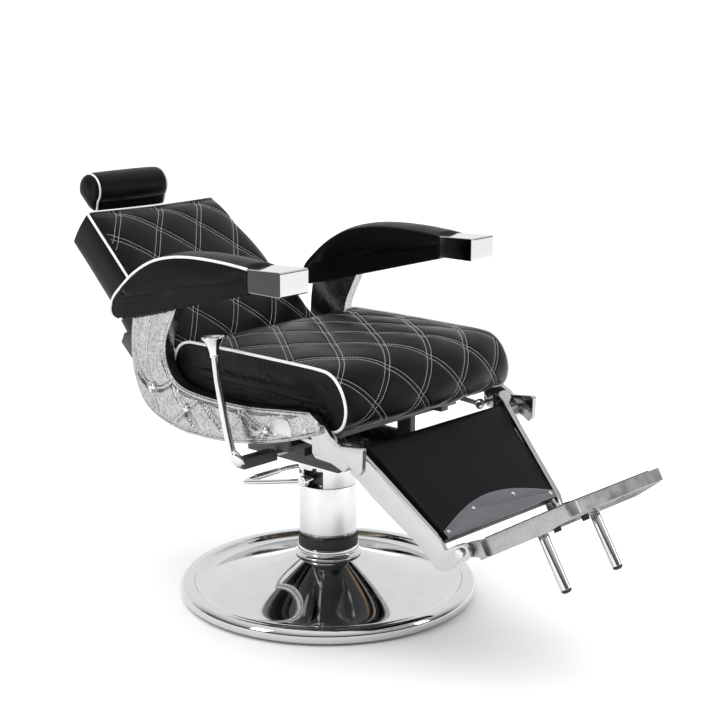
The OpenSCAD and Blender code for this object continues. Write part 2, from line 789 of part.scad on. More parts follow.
module support_tubes() {
    color(CHROME) on_foot() for (s = [-1, 1]) translate([s * tube_x, -tube_s, 0]) difference() {
        translate([0, 0, -142]) cylinder(r = tube_r, h = 139);
        translate([0, 0, -143]) cylinder(r = 8, h = 120);
    }
}

module foot_rubbers() {
    color(RUBBER) on_foot() {
        for (s = [-1, 1]) translate([s * tube_x, -tube_s, 0]) {
            translate([0, 0, -142]) cylinder(r = 7.9, h = 16);
            translate([0, 0, -142.1]) rotate([180, 0, 0]) rotate_extrude()
                polygon(concat([[0, 0], [tube_r, 0]], arc([tube_r - 7, 0], 7, 0, 90, 5), [[0, 7]]));
        }
        for (s = [-1, 1]) translate([s * (tube_x - 40), -tube_s - 6, tray_low - 6]) cylinder(r = 8, h = 11.9);
    }
}

/* ---- Pump lever and recline lever ---- */

module pump_shaft() {
    color(CHROME) bar_x(7, -98, 98, pump_y, pump_z);
}

// The lever's rod leaves one crank, runs back and down, crosses behind the column and returns.
pump_r = 5.5;
pump_path = [[90, pump_y, pump_z], [90, 160, 244], [84, 184, 239], [66, 197, 236], [40, 200, 235]];
module rod_between(a, b, r) {
    d = b - a;
    translate(a) rotate([0, acos(d[2] / norm(d)), atan2(d[1], d[0])]) cylinder(r = r, h = norm(d));
}
module pump_lever() {
    color(CHROME) difference() {
        union() {
            both_sides() {
                bar_x(12, 84, 97, pump_y, pump_z);
                for (i = [0 : len(pump_path) - 2]) rod_between(pump_path[i], pump_path[i + 1], pump_r);
                for (i = [1 : len(pump_path) - 2]) translate(pump_path[i]) sphere(pump_r + 0.1);
            }
            bar_x(8, -40, 40, 200, 235);
        }
        bar_x(7, -120, 120, pump_y, pump_z);
    }
}

lever_top = [8, 604];
lever_half_t = 6;
lever_hub_r = 11;
lever_front = [[lever_y + lever_hub_r, lever_z], [-28, 410], [-13, 463], [3, 532], [10, 567],
    [lever_top[0] + 7, lever_top[1]]];
lever_back = [[lever_top[0] - 7, lever_top[1]], [-8, 567], [-15, 532], [-33, 463], [-51, 410],
    [lever_y - lever_hub_r, lever_z]];

module recline_lever() {
    color(CHROME) {
        side(-lever_x - lever_half_t, -lever_x + lever_half_t) polygon(concat(
            curve(lever_front, 4), curve(lever_back, 4), arc([lever_y, lever_z], lever_hub_r, -170, -10, 8)));
        bar_x(lever_r, -lever_x, -rail_x + 14, lever_y, lever_z);
    }
}

module lever_knob() {
    color(CHROME) translate([-lever_x, lever_top[0], lever_top[1] + 0.1]) rotate_extrude()
        polygon(concat([[0, 0]], curve([[8, 0], [9, 10], [12, 22], [18, 33], [24, 40], [24, 43]], 4),
            curve([[22, 45], [12, 46.5], [0, 47]], 4)));
}

module lever_sleeve() {
    color(BLACK) difference() {
        translate([-lever_x + 12, lever_y - 13, lever_z - 11]) cube([96, 26, 22]);
        bar_x(lever_r + 0.1, -lever_x, 0, lever_y, lever_z);
    }
}

base_shell();
floor_gasket();
base_plate();
plate_bolts();
pump_cylinder();
gland_nut();
collar_ring();
collar_band();
lower_sleeve();
piston_rod();
swivel_bush();
upper_sleeve();
pump_head();
mount_plate();
chassis_frame();
frame_bolts();
side_casting_right();
side_casting_left();
casting_studs();
side_plates();
hinge_pins();
arm_base_right();
arm_base_left();
arm_pad_right();
arm_pad_left();
arm_cap_right();
arm_cap_left();
seat_board();
seat_cushion();
lever_block();
spring_tube();
spring_rod();
push_rods();
back_frame();
back_board();
back_cushion();
back_cover();
headrest_guide();
guide_knob();
headrest_stem();
headrest_pin();
headrest_core();
headrest_pad();
leg_frame_right();
leg_frame_left();
leg_crossbar();
calf_board();
calf_pad();
kick_plate();
kick_screws();
foot_bolts();
footplate();
tread_strips();
support_tubes();
foot_rubbers();
pump_shaft();
pump_lever();
recline_lever();
lever_knob();
lever_sleeve();
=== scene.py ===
"""Looks of the hydraulic barber chair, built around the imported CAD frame.

Everything is in metres in the row frame: origin on the floor at the swivel axis, +Z up, the chair
faces -Y, and -X is the occupant's right. Outlines are [y, z] pairs unless a comment says otherwise.
"""
import json
import math

import bmesh
import bpy
import numpy as np
from mathutils import Matrix, Vector
from mathutils.bvhtree import BVHTree


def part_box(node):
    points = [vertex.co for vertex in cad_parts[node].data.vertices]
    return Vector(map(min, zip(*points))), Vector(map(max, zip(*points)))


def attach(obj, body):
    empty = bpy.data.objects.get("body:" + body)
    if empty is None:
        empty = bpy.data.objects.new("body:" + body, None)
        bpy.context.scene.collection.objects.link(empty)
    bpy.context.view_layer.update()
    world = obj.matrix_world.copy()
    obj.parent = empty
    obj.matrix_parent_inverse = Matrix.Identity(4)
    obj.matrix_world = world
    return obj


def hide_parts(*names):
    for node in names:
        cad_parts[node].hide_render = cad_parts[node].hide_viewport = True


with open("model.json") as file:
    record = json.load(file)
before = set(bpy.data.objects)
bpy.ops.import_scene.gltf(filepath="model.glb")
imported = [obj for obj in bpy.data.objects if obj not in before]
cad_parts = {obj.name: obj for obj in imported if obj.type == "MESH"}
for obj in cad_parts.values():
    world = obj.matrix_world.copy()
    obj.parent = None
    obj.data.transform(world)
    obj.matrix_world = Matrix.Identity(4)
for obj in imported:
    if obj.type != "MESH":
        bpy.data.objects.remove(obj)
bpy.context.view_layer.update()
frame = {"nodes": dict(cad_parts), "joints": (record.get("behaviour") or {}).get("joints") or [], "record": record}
NODES = frame["nodes"]
MM = 0.001
SIDES = {"right": -1, "left": 1}


# ---------------------------------------------------------------- small geometry helpers

def unit(v):
    v = np.asarray(v, float)
    return v / np.maximum(np.linalg.norm(v, axis=-1, keepdims=True), 1e-12)


def smooth(t):
    t = np.clip(t, 0, 1)
    return t * t * (3 - 2 * t)


def spline(points, steps=8):
    """Catmull-Rom curve through the points, open at both ends."""
    p = np.asarray(points, float)
    out = []
    for i in range(len(p) - 1):
        a, b, c, d = p[max(i - 1, 0)], p[i], p[i + 1], p[min(i + 2, len(p) - 1)]
        for t in np.arange(steps) / steps:
            out.append(0.5 * (2 * b + (c - a) * t + (2 * a - 5 * b + 4 * c - d) * t**2
                              + (3 * b - a - 3 * c + d) * t**3))
    out.append(p[-1])
    return np.array(out)


def arc(centre, r, a0, a1, n=12):
    """n steps of a circular arc between two angles in degrees."""
    t = np.radians(np.linspace(a0, a1, n + 1))
    return np.stack([centre[0] + r * np.cos(t), centre[1] + r * np.sin(t)], 1)


def lengths(path, closed=False):
    """Arc length at each point of a path, and the total."""
    p = np.asarray(path, float)
    step = np.linalg.norm(np.diff(np.vstack([p, p[:1]]) if closed else p, axis=0), axis=1)
    s = np.r_[0, np.cumsum(step)]
    return (s[:-1], s[-1]) if closed else (s, s[-1])


def resample(path, count, closed=False):
    """count points at even spacing along a path."""
    p = np.asarray(path, float)
    if closed:
        p = np.vstack([p, p[:1]])
    s, total = lengths(p)
    want = np.linspace(0, total, count, endpoint=not closed)
    return np.stack([np.interp(want, s, p[:, k]) for k in range(p.shape[1])], 1)


def link(obj):
    bpy.context.scene.collection.objects.link(obj)
    return obj


def new_mesh(name, verts, faces, smooth_shade=True):
    mesh = bpy.data.meshes.new(name)
    mesh.from_pydata([tuple(v) for v in np.asarray(verts, float)], [], [tuple(int(i) for i in f) for f in faces])
    mesh.validate()
    mesh.polygons.foreach_set("use_smooth", [smooth_shade] * len(mesh.polygons))
    return link(bpy.data.objects.new(name, mesh))


def grid_faces(rows, cols, close_rows=False, close_cols=False, start=0):
    i = np.arange(rows if close_rows else rows - 1)
    j = np.arange(cols if close_cols else cols - 1)
    i, j = np.meshgrid(i, j, indexing="ij")
    i2, j2 = (i + 1) % rows, (j + 1) % cols
    quads = np.stack([i * cols + j, i * cols + j2, i2 * cols + j2, i2 * cols + j], -1)
    return (quads.reshape(-1, 4) + start).tolist()


def sharp_smooth(obj, angle=32):
    """Smooth shading with the edges above the angle kept sharp."""
    bpy.context.view_layer.objects.active = obj
    for o in bpy.context.selected_objects:
        o.select_set(False)
    obj.select_set(True)
    bpy.ops.object.shade_auto_smooth(angle=math.radians(angle))
    obj.select_set(False)
    apply_modifiers(obj)
    return obj


def apply_modifiers(obj):
    graph = bpy.context.evaluated_depsgraph_get()
    mesh = bpy.data.meshes.new_from_object(obj.evaluated_get(graph), depsgraph=graph)
    obj.modifiers.clear()
    obj.data = mesh
    return obj


def bevelled(obj, width, segments=3, angle=30):
    """Rounds the object's sharp edges."""
    b = obj.modifiers.new("bevel", "BEVEL")
    b.width = width
    b.segments = segments
    b.limit_method = "ANGLE"
    b.angle_limit = math.radians(angle)
    b.harden_normals = False
    return apply_modifiers(obj)


def lathe(name, profile, axis_point=(0, 0), segments=192):
    """Turns an [r, z] profile, listed bottom to top on the outside, about a vertical axis."""
    p = np.asarray(profile, float)
    a = np.linspace(0, 2 * np.pi, segments, endpoint=False)
    verts = np.stack([axis_point[0] + p[:, :1] * np.cos(a), axis_point[1] + p[:, :1] * np.sin(a),
                      np.repeat(p[:, 1:], segments, 1)], -1)
    return new_mesh(name, verts.reshape(-1, 3), grid_faces(len(p), segments, close_cols=True))


def frames_along(path, closed=False):
    """Tangent, side and up vectors that turn as little as they can along a path."""
    p = np.asarray(path, float)
    if closed:
        t = unit(np.roll(p, -1, 0) - np.roll(p, 1, 0))
    else:
        t = unit(np.gradient(p, axis=0))
    helper = np.array([0, 0, 1.0]) if abs(t[0][2]) < 0.9 else np.array([1.0, 0, 0])
    side = unit(np.cross(t[0], helper))
    sides = [side]
    for k in range(1, len(p)):
        side = unit(side - t[k] * np.dot(side, t[k]))
        sides.append(side)
    sides = np.array(sides)
    return t, sides, np.cross(t, sides)


def tube(name, path, radius, sides=12, closed=False, caps=True):
    """A round tube along a path. The radius is a number or one for each point."""
    p = np.asarray(path, float)
    _, u, w = frames_along(p, closed)
    r = np.broadcast_to(np.asarray(radius, float), (len(p),))
    a = np.linspace(0, 2 * np.pi, sides, endpoint=False)
    ring = u[:, None] * np.cos(a)[None, :, None] + w[:, None] * np.sin(a)[None, :, None]
    verts = (p[:, None] + ring * r[:, None, None]).reshape(-1, 3)
    faces = grid_faces(len(p), sides, close_rows=closed, close_cols=True)
    if caps and not closed:
        faces += [list(range(sides))[::-1], [len(verts) - sides + k for k in range(sides)]]
    return new_mesh(name, verts, faces)


def outward_of(outline):
    """Unit vectors that point out of a closed outline, one at each of its points."""
    tangent = unit(np.roll(outline, -1, 0) - np.roll(outline, 1, 0))
    outward = np.stack([tangent[:, 1], -tangent[:, 0]], 1)
    return outward if np.sum(outward * (outline - outline.mean(0))) >= 0 else -outward


def crowded_ends(count):
    """Numbers from -1 to 1 that lie closer together near both ends."""
    return np.sin(np.linspace(-1, 1, count) * np.pi / 2 * 0.86) / math.sin(np.pi / 2 * 0.86)


def face_outwards(obj):
    bm = bmesh.new()
    bm.from_mesh(obj.data)
    bmesh.ops.recalc_face_normals(bm, faces=bm.faces)
    bm.to_mesh(obj.data)
    bm.free()
    return obj


def join(name, objects):
    """Joins several objects into one."""
    for o in bpy.context.selected_objects:
        o.select_set(False)
    for o in objects:
        o.select_set(True)
    bpy.context.view_layer.objects.active = objects[0]
    if len(objects) > 1:
        bpy.ops.object.join()
    objects[0].name = name
    objects[0].data.name = name
    objects[0].select_set(False)
    return objects[0]


def placed(obj, matrix):
    obj.data.transform(matrix)
    return obj


# ---------------------------------------------------------------- the chair's own frames

JOINTS = {j["name"]: j for j in frame["joints"]}
RECLINE = np.array(JOINTS["recline"]["pos_m"])
BACK_ANGLE = math.degrees(math.atan2(JOINTS["headrest_slide"]["axis"][2], JOINTS["headrest_slide"]["axis"][1]))
BACK = Matrix.Translation(Vector(RECLINE)) @ Matrix.Rotation(math.radians(BACK_ANGLE), 4, "X")
CALF_ANGLE = 41.9


# ---------------------------------------------------------------- materials

def node_material(name):
    """A new material with its nodes, its links and its shader."""
    m = bpy.data.materials.new(name)
    m.use_nodes = True
    n = m.node_tree.nodes
    return m, n, m.node_tree.links, n["Principled BSDF"]


def texture(nodes, links, kind, scale, **settings):
    """A procedural texture in the object's own metres."""
    coords = nodes.get("Texture Coordinate") or nodes.new("ShaderNodeTexCoord")
    t = nodes.new(kind)
    t.inputs["Scale"].default_value = scale
    for key, value in settings.items():
        if key in t.inputs:
            t.inputs[key].default_value = value
        else:
            setattr(t, key, value)
    links.new(coords.outputs["Object"], t.inputs["Vector"])
    return t


def ramp(nodes, links, source, low, high, start=0.35, end=0.65):
    """Maps a texture's value onto two numbers or two colours."""
    r = nodes.new("ShaderNodeValToRGB")
    r.color_ramp.elements[0].position = start
    r.color_ramp.elements[1].position = end
    as_colour = lambda c: (c, c, c, 1) if np.isscalar(c) else (*c, 1)
    r.color_ramp.elements[0].color = as_colour(low)
    r.color_ramp.elements[1].color = as_colour(high)
    links.new(source, r.inputs["Fac"])
    return r.outputs["Color"]


def bump(nodes, links, shader, layers):
    """Stacks bump layers, each a height output with its strength and its depth in metres."""
    last = None
    for height, strength, depth in layers:
        b = nodes.new("ShaderNodeBump")
        b.inputs["Strength"].default_value = strength
        b.inputs["Distance"].default_value = depth
        links.new(height, b.inputs["Height"])
        if last is not None:
            links.new(last, b.inputs["Normal"])
        last = b.outputs["Normal"]
    links.new(last, shader.inputs["Normal"])


def leather(name, colour=(0.0032, 0.0032, 0.0044), rough=(0.3, 0.42), shine=0.12):
    m, n, l, s = node_material(name)
    tone = texture(n, l, "ShaderNodeTexNoise", 14, Detail=4)
    light = tuple(c * 1.5 for c in colour)
    l.new(ramp(n, l, tone.outputs["Fac"], colour, light, 0.3, 0.8), s.inputs["Base Color"])
    l.new(ramp(n, l, tone.outputs["Fac"], rough[0], rough[1]), s.inputs["Roughness"])
    s.inputs["Specular IOR Level"].default_value = shine
    grain = texture(n, l, "ShaderNodeTexVoronoi", 620, feature="DISTANCE_TO_EDGE")
    edge = ramp(n, l, grain.outputs["Distance"], 0.0, 1.0, 0.0, 0.18)
    pores = texture(n, l, "ShaderNodeTexNoise", 1500, Detail=2)
    folds = texture(n, l, "ShaderNodeTexNoise", 42, Detail=5, Distortion=0.6)
    bump(n, l, s, [(folds.outputs["Fac"], 0.22, 0.0012), (edge, 0.28, 0.0002), (pores.outputs["Fac"], 0.15, 0.0001)])
    return m


def vinyl(name, colour):
    m, n, l, s = node_material(name)
    tone = texture(n, l, "ShaderNodeTexNoise", 30, Detail=3)
    dirty = tuple(c * 0.86 for c in colour)
    l.new(ramp(n, l, tone.outputs["Fac"], dirty, colour, 0.2, 0.6), s.inputs["Base Color"])
    l.new(ramp(n, l, tone.outputs["Fac"], 0.42, 0.3), s.inputs["Roughness"])
    fine = texture(n, l, "ShaderNodeTexNoise", 900, Detail=2)
    bump(n, l, s, [(fine.outputs["Fac"], 0.2, 0.0001)])
    return m


def thread(name):
    m, n, l, s = node_material(name)
    strands = texture(n, l, "ShaderNodeTexNoise", 1800, Detail=2)
    l.new(ramp(n, l, strands.outputs["Fac"], (0.5, 0.5, 0.5), (0.8, 0.8, 0.79)), s.inputs["Base Color"])
    s.inputs["Roughness"].default_value = 0.65
    bump(n, l, s, [(strands.outputs["Fac"], 0.4, 0.0002)])
    return m


def chrome(name, colour=(0.66, 0.67, 0.68), rough=(0.03, 0.075)):
    m, n, l, s = node_material(name)
    s.inputs["Metallic"].default_value = 1.0
    haze = texture(n, l, "ShaderNodeTexNoise", 22, Detail=5)
    dull = tuple(c * 0.95 for c in colour)
    l.new(ramp(n, l, haze.outputs["Fac"], dull, colour), s.inputs["Base Color"])
    l.new(ramp(n, l, haze.outputs["Fac"], rough[0], rough[1]), s.inputs["Roughness"])
    wipe = texture(n, l, "ShaderNodeTexNoise", 160, Detail=6, Distortion=2.0)
    bump(n, l, s, [(wipe.outputs["Fac"], 0.05, 0.00005)])
    return m


def cast_metal(name, colour=(0.66, 0.66, 0.66), rough=(0.12, 0.26), grain=0.6):
    m, n, l, s = node_material(name)
    s.inputs["Metallic"].default_value = 1.0
    cloud = texture(n, l, "ShaderNodeTexNoise", 36, Detail=6)
    dark = tuple(c * 0.82 for c in colour)
    l.new(ramp(n, l, cloud.outputs["Fac"], rough[0], rough[1]), s.inputs["Roughness"])
    peel = texture(n, l, "ShaderNodeTexNoise", 210, Detail=3)
    mix = n.new("ShaderNodeMix")
    mix.data_type = "RGBA"
    mix.blend_type = "MULTIPLY"
    mix.inputs["Factor"].default_value = grain
    l.new(ramp(n, l, cloud.outputs["Fac"], dark, colour, 0.25, 0.6), mix.inputs["A"])
    l.new(ramp(n, l, peel.outputs["Fac"], (0.35, 0.35, 0.36), (1, 1, 1), 0.36, 0.56), mix.inputs["B"])
    l.new(mix.outputs["Result"], s.inputs["Base Color"])
    dents = texture(n, l, "ShaderNodeTexNoise", 60, Detail=2)
    pits = texture(n, l, "ShaderNodeTexVoronoi", 420)
    bump(n, l, s, [(dents.outputs["Fac"], 0.25, 0.0016), (peel.outputs["Fac"], grain, 0.0011),
                   (pits.outputs["Distance"], 0.25, 0.0003)])
    return m


def brushed(name, colour, rough=(0.22, 0.36), along=(1, 0.06, 0.06)):
    m, n, l, s = node_material(name)
    s.inputs["Metallic"].default_value = 1.0
    coords = n.new("ShaderNodeTexCoord")
    stretch = n.new("ShaderNodeMapping")
    stretch.inputs["Scale"].default_value = tuple(1.0 / a for a in along)
    lines = n.new("ShaderNodeTexNoise")
    lines.inputs["Scale"].default_value = 45
    lines.inputs["Detail"].default_value = 5
    l.new(coords.outputs["Object"], stretch.inputs["Vector"])
    l.new(stretch.outputs["Vector"], lines.inputs["Vector"])
    dull = tuple(c * 0.8 for c in colour)
    l.new(ramp(n, l, lines.outputs["Fac"], dull, colour), s.inputs["Base Color"])
    l.new(ramp(n, l, lines.outputs["Fac"], rough[0], rough[1]), s.inputs["Roughness"])
    bump(n, l, s, [(lines.outputs["Fac"], 0.12, 0.0001)])
    return m


def painted(name, colour, rough=(0.3, 0.42)):
    m, n, l, s = node_material(name)
    orange = texture(n, l, "ShaderNodeTexNoise", 300, Detail=2)
    dust = texture(n, l, "ShaderNodeTexNoise", 18, Detail=5)
    light = tuple(c * 1.5 + 0.004 for c in colour)
    l.new(ramp(n, l, dust.outputs["Fac"], colour, light), s.inputs["Base Color"])
    l.new(ramp(n, l, dust.outputs["Fac"], rough[0], rough[1]), s.inputs["Roughness"])
    bump(n, l, s, [(orange.outputs["Fac"], 0.15, 0.0003)])
    return m


def rubber(name, colour=(0.014, 0.014, 0.014)):
    m, n, l, s = node_material(name)
    dust = texture(n, l, "ShaderNodeTexNoise", 60, Detail=4)
    light = tuple(c * 2.2 for c in colour)
    l.new(ramp(n, l, dust.outputs["Fac"], colour, light), s.inputs["Base Color"])
    l.new(ramp(n, l, dust.outputs["Fac"], 0.55, 0.75), s.inputs["Roughness"])
    fine = texture(n, l, "ShaderNodeTexNoise", 1200, Detail=2)
    bump(n, l, s, [(fine.outputs["Fac"], 0.3, 0.0002)])
    return m


def plywood(name):
    m, n, l, s = node_material(name)
    coords = n.new("ShaderNodeTexCoord")
    stretch = n.new("ShaderNodeMapping")
    stretch.inputs["Scale"].default_value = (30, 4, 30)
    rings = n.new("ShaderNodeTexNoise")
    rings.inputs["Scale"].default_value = 6
    rings.inputs["Detail"].default_value = 6
    l.new(coords.outputs["Object"], stretch.inputs["Vector"])
    l.new(stretch.outputs["Vector"], rings.inputs["Vector"])
    l.new(ramp(n, l, rings.outputs["Fac"], (0.32, 0.2, 0.1), (0.58, 0.42, 0.26)), s.inputs["Base Color"])
    s.inputs["Roughness"].default_value = 0.6
    bump(n, l, s, [(rings.outputs["Fac"], 0.2, 0.0003)])
    return m


MAT = {
    "leather": leather("black_leather"),
    "panel": leather("black_leather_plain", colour=(0.003, 0.003, 0.0042), rough=(0.34, 0.46), shine=0.09),
    "piping": vinyl("white_piping", (0.86, 0.86, 0.85)),
    "thread": thread("white_thread"),
    "chrome": chrome("chrome"),
    # a darker copy of the chrome: painted reflection, standing for the dark room that the arm caps' flat sides mirror
    "painted_dark_reflection_chrome": chrome("painted_dark_reflection_chrome", (0.07, 0.07, 0.075), rough=(0.08, 0.14)),
    "leg_chrome": chrome("leg_chrome", (0.48, 0.485, 0.49), rough=(0.08, 0.14)),
    "casting": cast_metal("cast_aluminium", colour=(0.48, 0.48, 0.48)),
    "tread": cast_metal("footplate_casting", colour=(0.4, 0.4, 0.4), rough=(0.26, 0.4), grain=0.15),
    "badge": brushed("blank_plate", (0.66, 0.66, 0.66), rough=(0.3, 0.4)),
    "steel": brushed("bright_steel", (0.62, 0.62, 0.64)),
    "gunmetal": brushed("gunmetal", (0.2, 0.2, 0.215), rough=(0.12, 0.2)),
    "black_steel": painted("black_steel", (0.018, 0.018, 0.019)),
    "plastic": painted("black_plastic", (0.014, 0.014, 0.015), rough=(0.4, 0.55)),
    "rubber": rubber("black_rubber"),
    "plywood": plywood("plywood"),
    "bronze": brushed("bronze", (0.62, 0.44, 0.2)),
}
FINISH_OF_SLOT = {
    "chrome": "chrome", "cast_aluminium": "casting", "black_leather": "panel", "black_rubber": "rubber",
    "black_plastic": "plastic", "black_steel": "black_steel", "bright_steel": "steel", "gunmetal": "gunmetal",
    "plywood": "plywood", "bronze": "bronze",
}


def finish_as(obj, finish):
    obj.data.materials.clear()
    obj.data.materials.append(MAT[finish])
    return obj


def piece(obj, finish, body, *replaced):
    """Gives a new piece its material, its body and the CAD nodes that it stands for."""
    finish_as(obj, finish)
    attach(obj, body)
    if replaced:
        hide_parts(*replaced)
    return obj


def paint_frame():
    """Every CAD node gets its procedural material by its slot in the record."""
    for part in frame["record"]["subparts"]:
        node = NODES[part["node"]]
        node.data.materials.clear()
        node.data.materials.append(MAT[FINISH_OF_SLOT[part["material_slot"]]])
    NODES["footplate"].data.materials[0] = MAT["tread"]


def refined(name, node, bevel=1.2 * MM, segments=3, angle=30, shade=32):
    """A copy of a CAD node's solid with its facets merged and its edges rounded."""
    obj = link(bpy.data.objects.new(name, NODES[node].data.copy()))
    bm = bmesh.new()
    bm.from_mesh(obj.data)
    bmesh.ops.remove_doubles(bm, verts=bm.verts, dist=1e-5)
    bmesh.ops.dissolve_limit(bm, angle_limit=math.radians(0.5), verts=bm.verts, edges=bm.edges)
    bm.to_mesh(obj.data)
    bm.free()
    if obj.data.has_custom_normals:
        obj.data.attributes.remove(obj.data.attributes["custom_normal"])
    bevelled(obj, bevel, segments, angle)
    return sharp_smooth(obj, shade)


# ---------------------------------------------------------------- upholstery machinery

CAP_RINGS = 14


def padded_loft(name, loops, spine, cap_bulge, axis, cap_rings=CAP_RINGS, cap_reach=None):
    """A closed soft form through a row of closed loops, with an end panel on each side.

    loops has shape (rows, points, 3). spine holds, for each loop point, the point that the end panels
    shrink towards. The mesh keeps along (row), round (distance round the loop) and edge (distance from
    the nearest end seam) as attributes, and is_band marks everything but the end panels. The end panels
    are domes, or with cap_reach flat pads that rise over that distance from their seam.
    """
    rows, count = loops.shape[:2]
    verts = [loops.reshape(-1, 3)]
    faces = grid_faces(rows, count, close_cols=True)
    along = [np.repeat(np.linspace(0, 1, rows), count)]
    mid = loops[rows // 2]
    s, _ = lengths(mid, closed=True)
    round_s = [np.tile(s, rows)]
    to_start = np.linalg.norm(loops - loops[0], axis=2)
    to_end = np.linalg.norm(loops - loops[-1], axis=2)
    edge = [np.minimum(to_start, to_end).ravel()]
    band = [np.ones(rows * count)]
    start = rows * count
    for end, sign, bulge in ((0, -1, cap_bulge[0]), (rows - 1, 1, cap_bulge[1])):
        loop, core = loops[end], spine[end]
        previous = end * count
        for k in range(1, cap_rings + 1):
            t = k / cap_rings * (0.84 if cap_reach else 0.96)
            ring = core + (loop - core) * (1 - t)
            gap = np.linalg.norm(ring[:, None] - loop[None], axis=2).min(1)
            if cap_reach:
                rise = 1 - np.exp(-gap / cap_reach)
            else:
                rise = np.full(count, math.sqrt(1 - (1 - t) ** 2))
            ring = ring + np.asarray(axis) * sign * bulge * rise[:, None]
            verts.append(ring)
            along.append(np.full(count, end / (rows - 1)))
            round_s.append(s)
            edge.append(gap)
            band.append(np.zeros(count))
            for j in range(count):
                j2 = (j + 1) % count
                quad = [previous + j, previous + j2, start + j2, start + j]
                faces.append(quad if end else quad[::-1])
            previous = start
            start += count
        rim = list(range(previous, previous + count))
        faces.append(rim if end else rim[::-1])
    obj = face_outwards(new_mesh(name, np.vstack(verts), faces))
    for key, values in (("along", along), ("round", round_s), ("edge", edge), ("is_band", band)):
        set_attribute(obj, key, np.concatenate(values))
    return obj


def attribute(obj, key):
    out = np.zeros(len(obj.data.vertices), np.float32)
    obj.data.attributes[key].data.foreach_get("value", out)
    return out


def set_attribute(obj, key, values):
    a = obj.data.attributes.get(key) or obj.data.attributes.new(key, "FLOAT", "POINT")
    a.data.foreach_set("value", np.asarray(values, np.float32))


def coordinates(obj):
    out = np.zeros(len(obj.data.vertices) * 3)
    obj.data.vertices.foreach_get("co", out)
    return out.reshape(-1, 3)


def set_coordinates(obj, co):
    obj.data.vertices.foreach_set("co", np.asarray(co, float).ravel())
    obj.data.update()


def normals(obj):
    out = np.zeros(len(obj.data.vertices) * 3, np.float32)
    obj.data.vertex_normals.foreach_get("vector", out)
    return out.reshape(-1, 3).astype(float)


def push_out(obj, distance):
    """Moves each vertex along its normal."""
    set_coordinates(obj, coordinates(obj) + normals(obj) * distance[:, None])


def inflate(obj, pinned, pressure=4.0, limit=8 * MM, frames=14):
    """Cloth simulation with air pressure inside. pinned is 0 to 1 for each vertex. Travel is capped."""
    group = obj.vertex_groups.new(name="pin")
    for k in np.nonzero(pinned > 0.02)[0]:
        group.add([int(k)], float(pinned[k]), "REPLACE")
    cloth = obj.modifiers.new("cloth", "CLOTH")
    cloth.settings.quality = 5
    cloth.settings.mass = 0.4
    cloth.settings.tension_stiffness = 30
    cloth.settings.compression_stiffness = 30
    cloth.settings.shear_stiffness = 12
    cloth.settings.bending_stiffness = 2.5
    cloth.settings.use_pressure = True
    cloth.settings.uniform_pressure_force = pressure
    cloth.settings.vertex_group_mass = "pin"
    cloth.settings.effector_weights.gravity = 0
    cloth.collision_settings.use_collision = False
    cloth.point_cache.frame_end = frames + 1
    rest = coordinates(obj)
    scene = bpy.context.scene
    for f in range(1, frames + 1):
        scene.frame_set(f)
    graph = bpy.context.evaluated_depsgraph_get()
    shaped = np.zeros(len(rest) * 3)
    obj.evaluated_get(graph).data.vertices.foreach_get("co", shaped)
    move = shaped.reshape(-1, 3) - rest
    size = np.linalg.norm(move, axis=1, keepdims=True)
    move *= np.minimum(1, limit / np.maximum(size, 1e-9))
    obj.modifiers.clear()
    obj.vertex_groups.clear()
    scene.frame_set(1)
    set_coordinates(obj, rest + move)
    return obj


def subdivided(obj, levels=1):
    m = obj.modifiers.new("subdivision", "SUBSURF")
    m.levels = m.render_levels = levels
    m.use_limit_surface = False
    return apply_modifiers(obj)


def puckers(obj, depth=0.7 * MM, pitch=13 * MM, reach=14 * MM):
    """Small gathers in the leather where it is pulled into a seam."""
    s, edge = attribute(obj, "round"), attribute(obj, "edge")
    wave = np.sin(2 * np.pi * s / pitch + 1.7 * np.sin(s * 37)) * (0.6 + 0.4 * np.sin(s * 23 + 1))
    wave *= np.exp(-edge / reach) * smooth(edge / (3 * MM))
    push_out(obj, wave * depth)


class Diamonds:
    """A lattice of twin-stitched diamonds, width by height, with a crossing half a width either side of s0."""

    def __init__(self, width, height, s0, twin=5.5 * MM):
        self.width, self.height, self.s0, self.twin = width, height, s0, twin
        self.gap = 1 / math.hypot(1 / width, 1 / height)

    def height_at(self, x, s, puff, groove=1.5 * MM, width=2.6 * MM):
        a = x / self.width + (s - self.s0) / self.height
        b = x / self.width - (s - self.s0) / self.height
        pillow = (np.abs(np.cos(np.pi * a)) * np.abs(np.cos(np.pi * b))) ** 0.45
        out = puff * (pillow - 1)
        for v in (a, b):
            off = np.abs((v % 1) - 0.5) * self.gap - self.twin
            out = out - groove * np.exp(-(off / width) ** 2)
        return out

    def lines(self, half_width, s_low, s_high):
        """Every twin stitch line as (x, s) points, clipped to the panel."""
        s = np.arange(s_low, s_high, 1.5 * MM)
        reach = int(half_width / self.width + (s_high - s_low) / self.height) + 3
        for slope in (1, -1):
            for n in range(-reach, reach):
                for shift in (-self.twin, self.twin):
                    c = n + 0.5 + shift / self.gap
                    x = self.width * (c - slope * (s - self.s0) / self.height)
                    yield np.stack([x, s], 1)


